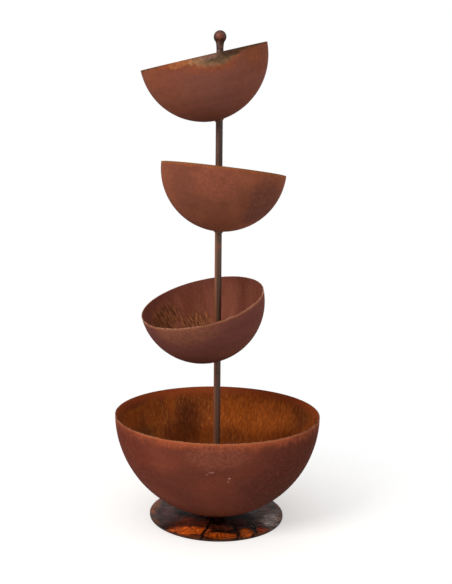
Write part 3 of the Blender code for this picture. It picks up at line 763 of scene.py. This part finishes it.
def basin():
    """The basin, with its scuffs, painted shade and painted light outside, and its golden and dark rust
    and painted shadow of the riser inside.
    """
    red, purple = (118, 58, 42), (102, 51, 38)
    scuff = (186, 140, 128)
    marks = [
        ((-92.5, 57), (7, 20, 3), scuff, 0.3, 1.4),
        ((-95, 62), (4, 20, 3), scuff, 0.2, 1.4),
        ((-83, 70), (3, 20, 2.5), scuff, 0.9, 0.8),
        ((-83.5, 77), (1.5, 20, 3), scuff, 0.4, 0.8),
        ((-54, 73), (6, 20, 6), (150, 88, 76), 0.5, 1.4),
        ((-78, 168), (70, 70, 30), (116, 58, 34), 0.55, 0.8),
        # painted shade: a darker right half of the outside
        ((-46, 100), (130, 120, 110), (84, 40, 30), 0.65, 0.8),
        # painted light: a lighter front just under the rim
        ((-90, 28), (80, 60, 30), (134, 74, 56), 0.5, 0.8),
        ((-150, 70), (80, 120, 100), (104, 46, 33), 0.75, 0.8),
        # painted shade: the right of the outside darker still
        ((-24, 90), (130, 150, 130), (82, 38, 26), 0.8, 0.8),
    ]
    # foot is painted shade: the basin's bottom keeps 0.6 of its colour
    band, line, band_depth, foot = (164, 82, 52), (176, 98, 60), 24 * MM, 0.6
    outside = outer_rust("basin_outer_rust", 0.0, BASIN_RADIUS, red, purple, band, band_depth,
                         line, foot, marks)
    patches = [
        ((66, 60), (130, 100, 60), (166, 84, 28), 0.75, 1.1),
        ((50, 50), (70, 80, 50), (196, 104, 42), 0.6, 0.9),
        ((30, 110), (100, 100, 60), (112, 48, 10), 0.75, 0.8),
        # painted shadow of the riser and bowls on the far inside wall
        ((110, 96), (40, 70, 94), (76, 31, 13), 0.7, 0.9),
        # painted shade: darker deep down on the far inside wall
        ((0, 170, -122), (200, 100, 42), (98, 44, 10), 0.65, 0.9),
        ((148, 8), (50, 70, 22), (92, 44, 30), 0.75, 0.8),
        # painted shadow of the riser and bowls, further along the far inside wall
        ((-85, 170, -96), (55, 80, 32), (84, 36, 12), 0.6, 0.9),
        ((150, 90), (60, 80, 30), (96, 62, 30), 0.5, 0.8),
    ]
    rim, body, brown, gold = (160, 76, 38), (142, 68, 25), (112, 54, 25), (184, 116, 50)
    inside = inner_rust("basin_inner_rust", 5.0, BASIN_RADIUS, rim, body, brown, gold, 0.42, patches)
    # the lip's pale tan patches are painted highlight as well as wear
    lip = cut_edge("basin_rim", 2.0, (178, 122, 90))
    place = Matrix.Translation(BASIN_CENTRE)
    bolt_hole = 5.3 * MM
    add_shell("basin", [outside, inside, lip], "root", place, BASIN_RADIUS, BASIN_WALL, bolt_hole,
              96, 256, 4.0, BASIN_FLOOR)


def bowls():
    """The three bowls and their welds: the upper stained under its rim, the middle given painted shade and
    light, the lower streaked inside.
    """
    stain = [
        ((22, -122, -14), (60, 60, 24), (148, 76, 44), 0.7, 1.4),
        ((-46, -116, -4), (44, 60, 9), (166, 90, 46), 0.75, 1.8),
        ((-40, -118, -4), (40, 60, 9), (190, 136, 84), 0.5, 3.2),
        ((-50, -114, -4), (50, 60, 10), (132, 56, 34), 0.5, 2.8),
        ((22, -123, -8), (48, 60, 19), (134, 106, 78), 0.8, 1.0),
        ((28, -122, -6), (40, 60, 15), (92, 70, 52), 0.9, 1.0),
        ((-14, -124, -6), (20, 60, 8), (154, 112, 80), 0.55, 2.0),
        ((12, -124, -4), (24, 60, 7), (132, 94, 82), 0.7, 1.4),
        ((52, -114, -3), (26, 50, 10), (66, 46, 34), 0.85, 1.0),
        ((80, -96, -1), (44, 70, 7), (80, 58, 42), 0.7, 1.0),
        ((92, -84, -18), (22, 50, 20), (140, 78, 42), 0.4, 1.4),
        ((-104, -66, -20), (22, 50, 24), (142, 78, 50), 0.4, 1.4),
    ]
    tan = [((-108, 14), (90, 60, 32), (136, 84, 60), 0.45, 0.7)]
    shade = [
        # painted shade: the middle bowl's right side darker
        ((-38, 62), (60, 80, 70), (98, 58, 48), 0.7, 0.7),
        # painted light: the middle bowl's front under the rim lighter
        ((-96, 30), (60, 60, 50), (148, 82, 60), 0.4, 0.8),
    ]
    streaks = [
        ((146, 50), (60, 60, 40)),
        ((112, 82), (50, 50, 26)),
    ]
    # pale is the lower bowl's lip colour, a painted highlight as well as wear; dark is the worn colour of
    # the other lips
    pale, dark = (206, 156, 132), (112, 74, 52)
    rim, inner_red, brown, gold = (128, 72, 58), (136, 78, 62), (120, 66, 50), (160, 104, 70)
    riser_hole = TUBE_RADIUS + 0.3 * MM
    # red, purple, band, band's depth, line under the rim, marks outside, streaks inside, colour of the
    # lip's worn patches (on the lower bowl also a painted highlight)
    looks = {
        "lower": ((120, 70, 54), (108, 61, 52), (138, 84, 62), 7 * MM, (168, 104, 76), tan, streaks, pale),
        "middle": ((138, 78, 54), (120, 68, 51), (158, 86, 49), 9 * MM, (132, 84, 46), shade, (), dark),
        "upper": ((128, 71, 52), (128, 76, 62), (138, 75, 46), 9 * MM, (92, 64, 42), stain, (), dark),
    }
    for i, (tier, look) in enumerate(looks.items()):
        red, purple, band, depth, line, marks, inner_marks, wear_and_highlight = look
        node, body = f"{tier}_bowl", f"{tier}_tier"
        place, radius, wall = bowl_place(node)
        # 0.96 is painted shade: each bowl a little darker at its bottom
        outside = outer_rust(f"{node}_outer_rust", 11.0 + 7 * i, BOWL_RADIUS, red, purple, band, depth,
                             line, 0.96, marks)
        inside = inner_rust(f"{node}_inner_rust", 3.0 + 5 * i, BOWL_RADIUS, rim, inner_red, brown, gold,
                            0.2, (), inner_marks)
        lip = cut_edge(f"{node}_rim", 1.0 + i, wear_and_highlight)
        add_shell(node, [outside, inside, lip], body, place, radius, wall, riser_hole, 56, 192, 9.0 + i)
        weld_bead(f"{tier}_weld_below", body, place, radius, -1)
        weld_bead(f"{tier}_weld_inside", body, place, radius - wall, 1)


def weld_bead(node, body, place, radius, side):
    """A rippled fillet between the riser and the bowl. side is 1 on the bowl's inside and -1 below it."""
    centre = place.translation
    ripples, sides, steps = 26, 208, 8
    near, wide, tall = TUBE_RADIUS - 0.1 * MM, 2.2 * MM, 2.6 * MM
    rings = []
    for i in range(sides):
        turn = 2 * math.pi * i / sides
        ray = Vector((math.cos(turn), math.sin(turn)))
        ripple = abs(math.sin(ripples / 2 * turn + 0.5 * math.sin(3 * turn)))
        uneven = 1 + 0.16 * noise.noise(Vector((ray.x * 2, ray.y * 2, radius * 50 + side)))
        section = []
        for k in range(steps + 1):
            angle = math.pi / 2 * k / steps
            swell = (0.9 + 0.12 * ripple * math.sin(2 * angle)) * uneven
            section.append((near + wide * swell * math.cos(angle), tall * swell * math.sin(angle)))
        buried = near - 0.5 * MM
        section += [(buried, tall * 0.9), (buried, -0.3 * MM), (near + wide * 0.8, -0.4 * MM)]
        ring = []
        for out, rise in section:
            foot = ray * out - centre.xy
            level = centre.z - math.sqrt(radius**2 - foot.length_squared)
            ring.append(Vector((ray.x * out, ray.y * out, level + side * rise)))
        rings.append(ring)
    add_part(node, "bead", skin(rings), WELD, body)


# ---- riser and top

def risers():
    """The three tube lengths."""
    finish = {
        "lower": riser_rust("lower_riser_rust", 1.0, (112, 82, 66), (84, 60, 48)),
        "middle": riser_rust("middle_riser_rust", 6.0, (108, 78, 60), (78, 56, 44)),
        "upper": riser_rust("upper_riser_rust", 12.0, (98, 70, 58), (70, 50, 42), (112, 70, 50)),
    }
    for tier, look in finish.items():
        node = f"{tier}_riser"
        low, high = (corner.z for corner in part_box(node))
        corners = [(TUBE_RADIUS, low), (TUBE_RADIUS, high), (TUBE_BORE, high), (TUBE_BORE, low)]
        add_part(node, "tube", lathe(eased(corners, 0.35 * MM), 72), look, f"{tier}_tier")


def ball_rust(centre):
    """Dark pitted rust, redder where the ball faces the viewer; centre is the ball's height."""
    g = Graph("ball_rust", 4.0)
    blotch = g.noise(240, 4, 0.62, 0.5)
    colour = g.mix(g.step(blotch, 0.4, 0.6), (54, 32, 26), (112, 66, 48))
    facing = g.near((-0.001, -0.012, centre - 0.001), (0.009, 0.009, 0.008), 0.6)
    colour = g.mix(g.times(facing, 0.7), colour, (138, 66, 38))
    neck = g.step(g.z, centre - 7 * MM, centre - 12 * MM)
    colour = g.mix(neck, colour, g.mix(g.step(blotch, 0.45, 0.6), (58, 36, 30), (112, 76, 58)))
    grain = g.noise(800, 3, 0.6)
    colour = g.shade(colour, grain, 0.25, 0.75, 0.75, 1.25)
    bump = g.bump(blotch, 0.4 * MM, 0.5)
    return g.done(colour, g.step(blotch, 0.3, 0.7, 0.7, 0.45), bump, Metallic=0.2)


def finial():
    """A ball on a flared neck. The jet's bore opens at its top."""
    low, high = (corner.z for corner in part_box("ball_finial"))
    ball, neck_top, jet = 12.5 * MM, 8.6 * MM, 3 * MM
    spigot = 25 * MM
    base = low + spigot
    centre = high - math.sqrt(ball**2 - jet**2)
    spigot_radius = 5.05 * MM
    lower = math.degrees(math.asin(neck_top / ball))
    upper = 180 - math.degrees(math.asin((jet + 0.5 * MM) / ball))
    meets = centre - math.sqrt(ball**2 - neck_top**2)
    profile = [(jet, low), (spigot_radius, low), (spigot_radius, base), (TUBE_RADIUS - 0.3 * MM, base),
               (TUBE_RADIUS, base + 0.3 * MM)]
    rise = meets - base
    for k in range(1, 9):
        share = k / 8
        profile.append((TUBE_RADIUS + (neck_top - TUBE_RADIUS) * share**2.2, base + rise * share))
    profile += arc(ball, lower + 2, upper, 26, centre)
    profile += [(jet + 0.1 * MM, high - 0.15 * MM), (jet, high - 0.8 * MM)]
    mesh = oriented(mesh_of("ball_and_neck", *lathe(profile, 72)))
    add_piece(mesh, [ball_rust(centre)], "upper_tier", "ball_finial")


# ---- foot and socket

def foot_plate():
    """A round plate with a torch-cut edge, laid not quite flat by its scale."""
    radius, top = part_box("foot_plate")[1].x, PLATE_TOP
    hole = 8.3 * MM
    rows, columns = 46, 224
    rings = []
    edge = [(0.0, 0.5), (0.15, 0.18), (0.5, 0.0)]
    for inset, lift in edge[::-1]:
        rings.append(plate_ring(radius - inset * MM, lift * MM, columns, 0.0))
    for inset, drop in edge:
        rings.append(plate_ring(radius - inset * MM, top - drop * MM, columns, 0.05 * MM))
    for k in range(1, rows):
        reach = radius - 0.5 * MM - (radius - hole - 0.5 * MM) * k / (rows - 1)
        rings.append(plate_ring(reach, top, columns, 0.3 * MM))
    add_part("foot_plate", "disc", skin(rings), wet_plate("wet_plate_steel"), "root")


def plate_ring(reach, height, columns, sag):
    """A ring of the plate; sag is how far the scale may sink the top."""
    ring = []
    for i in range(columns):
        turn = 2 * math.pi * i / columns
        nick = 0.22 * MM * abs(noise.noise(Vector((math.cos(turn) * 30, math.sin(turn) * 30, 0))))
        x, y = (reach - nick) * math.cos(turn), (reach - nick) * math.sin(turn)
        sunk = sag * (0.5 + 0.5 * noise.noise(Vector((x, y, 0)) * 45))
        ring.append(Vector((x, y, height - sunk)))
    return ring


def socket():
    """The post that the riser stands in."""
    low, high = (corner.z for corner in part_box("riser_socket"))
    seat, slide, water = 112 * MM, TUBE_RADIUS + 0.5 * MM, 5.2 * MM
    flange, post, thread = 16 * MM, 11 * MM, 4.4 * MM
    tapped, floor_top = low + 18 * MM, low + 24 * MM
    profile = [(0, tapped), (thread, tapped), (thread, low), (flange, low), (flange, low + 4 * MM),
               (post, low + 6 * MM), (post, high), (slide, high), (slide, seat), (water, seat),
               (water, floor_top), (0, floor_top)]
    finish = riser_rust("socket_rust", 9.0, (104, 74, 58), (80, 52, 40))
    add_part("riser_socket", "post", lathe(eased(profile, 0.8 * MM), 72), finish, "root")


# ---- pump and hose

spin = next(joint for joint in frame["joints"] if joint["name"] == "impeller_spin")
ROTOR_Z = 25 * MM
OUTLET_X = 15 * MM
OUTLET_END = 54 * MM
PUMP_SPLIT, PUMP_VOLUTE_END, PUMP_FRONT, PUMP_REAR = 10 * MM, 20 * MM, 28 * MM, -24 * MM
PUMP_LOW, PUMP_HIGH = (-19 * MM, 8 * MM), (19 * MM, 42 * MM)
CORNER = 6 * MM
PUMP_WALL = 2 * MM
AIR = 0.3 * MM
HOSE_RADIUS, HOSE_BORE = 5 * MM, 3.95 * MM
BARB_RADIUS, BARB_BORE = 3.5 * MM, 2.3 * MM
INLET = Vector((0, 0, 99 * MM))
INLET_DROP = math.radians(12)
INLET_REACH = 26 * MM


def pump_place():
    """The pump's axes: X along the rotor, Z square to the basin's wall."""
    along = Vector(spin["axis"]).normalized()
    hub = Vector(spin["pos_m"])
    up = (BASIN_CENTRE - hub).normalized()
    turn = Matrix((along, up.cross(along), up)).transposed().to_4x4()
    return Matrix.Translation(hub - up * ROTOR_Z) @ turn


def axial(profile):
    """A lathed part on the rotor's axis, in the pump's own axes."""
    turn = Matrix.Translation((0, 0, ROTOR_Z)) @ Matrix.Rotation(math.pi / 2, 4, "Y")
    return moved(lathe(profile), turn)


def casing(stations):
    """Rings of the pump's own outline along its rotor."""
    return prism(stations, PUMP_LOW, PUMP_HIGH, CORNER)


def rod(radius, start, end):
    return [(0, start), (radius, start), (radius, end), (0, end)]


def housing(place):
    """The grooved motor housing, open at its front and rounded at its rear."""
    grooves = [(PUMP_SPLIT, 0.25 * MM), (PUMP_SPLIT - 0.25 * MM, 0)]
    groove = outline((0, 0), (-0.3, 0.7), (-1.3, 0.7), (-1.6, 0))
    for k in range(5):
        start = PUMP_SPLIT - (6 + 5 * k) * MM
        grooves += [(start + x, inset) for x, inset in groove]
    rounded = outline((2, 0), (0.9, 0.35), (0.25, 1.1), (0, 2.2))
    grooves += [(PUMP_REAR + x, inset) for x, inset in rounded]
    outside = casing(grooves)
    inside = casing([(PUMP_REAR + PUMP_WALL, PUMP_WALL), (PUMP_SPLIT, PUMP_WALL)])
    verts, loops = loops_of(outside + inside)
    count = len(outside)
    faces = bridge(loops[:count], False) + [tuple(loops[count - 1])] + [tuple(loops[count])]
    faces += bridge(loops[count:], False) + bridge([loops[-1], loops[0]], False)
    mesh = mesh_of("pump_housing_shell", verts, faces)
    work = bmesh.new()
    work.from_mesh(mesh)
    bmesh.ops.recalc_face_normals(work, faces=work.faces)
    work.to_mesh(mesh)
    work.free()
    add_piece(mesh, [PLASTIC], "root", "pump_housing", place)


def volute(place):
    """The cover over the impeller, with the outlet's spout."""
    ease = 0.3 * MM
    start = PUMP_SPLIT + AIR
    stations = [(start, ease), (start + ease, 0), (PUMP_VOLUTE_END - ease, 0), (PUMP_VOLUTE_END, ease)]
    outlet = Matrix.Translation((OUTLET_X, 0, 0))
    spout = moved(lathe(spout_profile(), 48), outlet)
    bore = moved(lathe(rod(BARB_BORE, ROTOR_Z, OUTLET_END + 2 * MM), 40), outlet)
    mesh = carved("volute_cover_body", capped(casing(stations)), [spout], [
        axial(rod(11.5 * MM, PUMP_SPLIT - 2 * MM, PUMP_VOLUTE_END - 2.2 * MM)),
        axial(rod(5.5 * MM, PUMP_SPLIT, PUMP_FRONT)),
        bore,
    ])
    add_piece(mesh, [PLASTIC], "root", "volute_cover", place)


def strainer(place):
    """The intake cover, slit on both sides of the dial."""
    stations = [(PUMP_VOLUTE_END + AIR, 0), (PUMP_FRONT - 1.2 * MM, 0), (PUMP_FRONT - 0.4 * MM, 0.4 * MM),
                (PUMP_FRONT, 1.4 * MM)]
    hollow = casing([(PUMP_VOLUTE_END - 2 * MM, PUMP_WALL), (PUMP_FRONT - PUMP_WALL, PUMP_WALL)])
    cuts = [capped(hollow), axial(rod(4 * MM, PUMP_VOLUTE_END, PUMP_FRONT + PUMP_WALL))]
    for k in range(6):
        y = (-1 if k < 3 else 1) * (7.6 + 3.4 * (k % 3)) * MM
        slit = prism([(PUMP_FRONT - 2 * PUMP_WALL, 0), (PUMP_FRONT + PUMP_WALL, 0)],
                     (y - 0.8 * MM, ROTOR_Z - 9 * MM), (y + 0.8 * MM, ROTOR_Z + 9 * MM), 0.78 * MM)
        cuts.append(capped(slit))
    mesh = carved("strainer_cover_body", capped(casing(stations)), [], cuts)
    add_piece(mesh, [PLASTIC], "root", "strainer_cover", place)


def spout_profile():
    """The outlet: a hose tail with two ridges."""
    points = [(0, PUMP_HIGH[1] - 2 * MM), (BARB_RADIUS + 1.2 * MM, PUMP_HIGH[1] - 2 * MM),
              (BARB_RADIUS + 1.0 * MM, PUMP_HIGH[1] + 0.2 * MM), (BARB_RADIUS, PUMP_HIGH[1] + 1.4 * MM)]
    for end in (OUTLET_END - 4 * MM, OUTLET_END - 0.4 * MM):
        points += [(BARB_RADIUS - 0.15 * MM, end - 2.4 * MM), (BARB_RADIUS + 0.25 * MM, end - 2.2 * MM),
                   (BARB_RADIUS - 0.3 * MM, end)]
    return points + [(BARB_RADIUS - 0.6 * MM, OUTLET_END), (0, OUTLET_END)]


def dial(place):
    """The knob that throttles the intake, with a grip bar across it."""
    base = PUMP_FRONT
    stem, knob = 3.6 * MM, 5.6 * MM
    profile = outline((0, -4), (3.6, -4)) + [(stem, AIR), (knob, AIR)]
    profile += outline((5.6, 2.2), (5, 2.8), (0, 2.8))
    turned = axial([(radius, base + height) for radius, height in eased(profile, 0.3 * MM)])
    bar = prism([(base + 1.5 * MM, 0), (base + 5.1 * MM, 0), (base + 5.5 * MM, 0.3 * MM)],
                (-0.9 * MM, ROTOR_Z - 5 * MM), (0.9 * MM, ROTOR_Z + 5 * MM), 0.85 * MM)
    mesh = carved("flow_dial_knob", turned, [capped(bar)])
    add_piece(mesh, [KNOB], "regulator", "flow_dial", place)


def gland(place):
    """The rubber boot that a power cord would leave by."""
    profile = outline((0, 4), (2.2, 4), (2.2, 10), (3.4, 10), (4.2, 3), (5.5, 3), (5.5, 0), (0, 0))
    rear = Matrix.Translation((PUMP_REAR - AIR, 0, ROTOR_Z)) @ Matrix.Rotation(-math.pi / 2, 4, "Y")
    boot = moved(lathe(eased(profile, 0.4 * MM), 48), rear)
    add_part("cable_gland", "boot", boot, RUBBER, "root", place)


def upright(place, along):
    """Axes at a place, with Z along a direction."""
    return Matrix.Translation(place) @ along.to_track_quat("Z", "Y").to_matrix().to_4x4()


def feet(place):
    """Suction cups, each square to the basin's wall where it stands."""
    inner = BASIN_RADIUS - BASIN_WALL
    profile = outline((0, 2.2), (4.5, 1.6), (6, 1.6), (6, 2.4), (3, 3.6), (2.4, 6.2), (0, 6.2))
    cup = lathe(eased(profile, 0.35 * MM), 40)
    for i, (x, y) in enumerate(((-16, -12), (16, -12), (16, 12), (-16, 12))):
        spot = place @ Vector(metres((x, y, 0)))
        down = (spot - BASIN_CENTRE).normalized()
        stand = upright(BASIN_CENTRE + down * inner, -down)
        add_part(f"pump_foot_{i + 1}", "cup", cup, RUBBER, "root", stand)


def plumbing(place):
    """The brass inlet barb, the hose from the pump to it, and the clips at the hose's ends."""
    outlet = place @ Vector((OUTLET_X, 0, OUTLET_END))
    up = (place.to_3x3() @ Vector((0, 0, 1))).normalized()
    level = Vector((outlet.x, outlet.y, 0)).normalized()
    outward = level * math.cos(INLET_DROP) - Vector((0, 0, math.sin(INLET_DROP)))
    inlet = INLET + outward * INLET_REACH
    handle = (inlet - outlet).length * 0.36
    a, b, c, d = outlet, outlet + up * handle, inlet + outward * handle, inlet
    on_barb = 9 * MM
    points = [a - up * on_barb * (1 - k / 4) for k in range(4)]
    for k in range(33):
        t = k / 32
        points.append(a * (1 - t) ** 3 + b * 3 * t * (1 - t) ** 2 + c * 3 * t * t * (1 - t) + d * t**3)
    points += [d - outward * on_barb * (k + 1) / 4 for k in range(4)]
    add_part("hose", "line", sweep(points, (HOSE_RADIUS, HOSE_BORE)), HOSE, "root")

    ridge = BARB_RADIUS + 0.2 * MM
    valley, tip = BARB_RADIUS - 0.2 * MM, BARB_RADIUS - 0.3 * MM
    profile = [(BARB_BORE, 6.5 * MM), (BARB_RADIUS, 6.5 * MM)]
    for end in (INLET_REACH - 3 * MM, INLET_REACH):
        profile += [(valley, end - 1.6 * MM), (ridge, end - 1.4 * MM), (tip, end)]
    profile += [(BARB_BORE, INLET_REACH)]
    add_part("inlet_barb", "tail", lathe(profile, 56), BRASS, "root", upright(INLET, outward))
    for node, centre, along in (("hose_clip_pump", outlet - up * 7 * MM, up),
                                ("hose_clip_riser", INLET + outward * (INLET_REACH - 7 * MM), outward)):
        add_part(node, "band", clip_band(), STEEL, "root", upright(centre, along))


def polar(radius, degrees):
    angle = math.radians(degrees)
    return Vector((radius * math.cos(angle), radius * math.sin(angle)))


def clip_band():
    """A spring band: an open ring whose two ends turn out as ears."""
    inner, thick, high, ease = HOSE_RADIUS + AIR, 0.8 * MM, 4.5 * MM, 0.3 * MM
    middle = inner + thick / 2
    gap = 12
    ears, steps = metres((4.4, 2.6, 1.2)), 60
    line = [polar(inner + reach, gap) for reach in ears]
    line += [polar(middle, gap + 2 + (356 - 2 * gap) * k / steps) for k in range(steps + 1)]
    line += [polar(inner + reach, -gap) for reach in ears[::-1]]
    rings = []
    for i, point in enumerate(line):
        ahead, behind = line[min(i + 1, len(line) - 1)], line[max(i - 1, 0)]
        tangent = (ahead - behind).normalized()
        across = Vector((tangent.y, -tangent.x)) * thick / 2
        section = ((1, ease), (1, high - ease), (0.5, high), (-0.5, high), (-1, high - ease), (-1, ease),
                   (-0.5, 0), (0.5, 0))
        rings.append([Vector((*(point + across * side), z)) for side, z in section])
    return capped(rings)


# ---- what stays as CAD

def dress_cad():
    """Gives each CAD node that still shows its own finish."""
    steel = bright_metal("cad_stainless", (178, 172, 164), 0.34, cad=True)
    rubber = moulded("cad_rubber", (34, 33, 33), 0.72, cad=True)
    looks = {
        steel: ("base_bolt", "clamp_washer", "middle_coupler", "upper_coupler"),
        rubber: ("lower_gasket", "upper_gasket", "socket_seal", "middle_washer", "upper_washer",
                 "shaft_bush_front", "shaft_bush_rear"),
        moulded("cad_rust_stained_rubber", (92, 60, 46), 0.8, cad=True): ("finial_washer",),
        moulded("cad_impeller_plastic", (52, 60, 66), 0.4, cad=True): ("impeller",),
        speckled("cad_resin", (40, 38, 36), (70, 66, 60), 300, 0.4): ("motor_block",),
        speckled("cad_ferrite", (48, 48, 52), (78, 78, 82), 900, 0.45, Metallic=0.3): ("rotor_magnet",),
        speckled("cad_ceramic", (226, 222, 212), (240, 238, 232), 700, 0.22): ("rotor_shaft",),
        spacer_rust(): ("spacer_ring",),
    }
    for look, names in looks.items():
        for name in names:
            node = frame["nodes"][name]
            node.data.materials.clear()
            node.data.materials.append(look)


def spacer_rust():
    """Dark rust for the spacer ring under the basin."""
    g = Graph("cad_spacer_rust", 2.0, cad=True)
    blotch = g.noise(90, 4, 0.6)
    colour = g.mix(g.step(blotch, 0.4, 0.6), (44, 24, 18), (96, 48, 28))
    return g.done(colour, g.step(blotch, 0.3, 0.7, 0.35, 0.6), g.bump(blotch, 0.3 * MM, 0.6))


# ---- floor, light, camera

def mixed(tree, share, first, second, output):
    """Sends a mix of two shaders to an output node."""
    blend = tree.nodes.new("ShaderNodeMixShader")
    for i, source in enumerate((share, first, second)):
        tree.links.new(source, blend.inputs[i])
    tree.links.new(blend.outputs[0], tree.nodes[output].inputs["Surface"])


def floor():
    """A pale disc that fades into the backdrop all round."""
    g = Graph("pale_floor", cad=True)
    across = g.length(g.here)
    g.done((244, 243, 241), g.step(g.noise(40, 3, 0.6), 0.3, 0.7, 0.8, 0.9), Specular_IOR_Level=0.1,
           Emission_Color=(1, 1, 1, 1), Emission_Strength=0.33)
    clear = g.node("BsdfTransparent", {}).outputs[0]
    solid_to, clear_from = 0.16, 0.62
    mixed(g.tree, g.step(across, solid_to, clear_from), g.shader.outputs[0], clear, "Material Output")
    verts, faces = lathe([(reach, 0) for reach in (0, 0.3, 0.7, 1.4)])
    mesh = mesh_of("studio_floor", verts, [face[::-1] for face in faces])
    mesh.materials.append(g.material)
    linked("studio_floor", mesh)


def soft_box(name, position, target, size, watts, tint):
    data = bpy.data.lights.new(name, "AREA")
    data.shape = "DISK"
    data.size = size
    data.energy = watts
    data.color = tint
    aim = (Vector(target) - Vector(position)).to_track_quat("-Z", "Y")
    linked(name, data).matrix_world = Matrix.Translation(position) @ aim.to_matrix().to_4x4()


def studio():
    """An even white surround that shows white but lights less, with a soft key from the upper left."""
    world = bpy.data.worlds.new("studio")
    world.use_nodes = True
    tree = world.node_tree
    shown = tree.nodes.new("ShaderNodeBackground")
    shown.inputs["Color"].default_value = (1, 1, 1, 1)
    shown.inputs["Strength"].default_value = 1.0
    lighting = tree.nodes["Background"]
    lighting.inputs["Color"].default_value = (1.0, 0.99, 0.98, 1)
    lighting.inputs["Strength"].default_value = 0.62
    seen = tree.nodes.new("ShaderNodeLightPath").outputs["Is Camera Ray"]
    mixed(tree, seen, lighting.outputs[0], shown.outputs[0], "World Output")
    bpy.context.scene.world = world
    soft_box("key", (-1.7, -1.9, 2.1), (0, 0, 0.5), 1.3, 50, (1.0, 0.98, 0.95))
    soft_box("fill", (1.9, -0.6, 1.0), (0, 0, 0.5), 1.0, 5, (0.96, 0.98, 1.0))
    bpy.context.scene.view_settings.view_transform = "Standard"


def camera():
    """A long lens a little above the middle bowl, looking slightly down."""
    data = bpy.data.cameras.new("camera")
    data.sensor_width = 36
    data.lens = 51.6
    data.shift_x = 0.0856
    data.clip_start = 0.05
    obj = linked("camera", data)
    pitch, yaw, roll = math.radians(8.02), math.radians(2.89), math.radians(0.09)
    turn = Matrix.Rotation(yaw, 4, "Z") @ Matrix.Rotation(math.pi / 2 - pitch, 4, "X")
    obj.matrix_world = Matrix.Translation((0, -1.68, 0.7057)) @ turn @ Matrix.Rotation(roll, 4, "Z")
    bpy.context.scene.camera = obj


WELD = weld_rust("weld_rust")
PLASTIC = moulded("pump_black_plastic", (38, 42, 46), 0.42)
KNOB = moulded("dial_green_plastic", (40, 84, 72), 0.4)
RUBBER = moulded("black_rubber", (34, 33, 33), 0.7)
STEEL = bright_metal("clip_stainless", (190, 186, 180), 0.3)
BRASS = bright_metal("barb_brass", (196, 160, 88), 0.32)
HOSE = clear_hose("milky_hose")

basin()
bowls()
risers()
finial()
foot_plate()
socket()
pump = pump_place()
housing(pump)
volute(pump)
strainer(pump)
dial(pump)
gland(pump)
feet(pump)
plumbing(pump)
dress_cad()
floor()
studio()
camera()
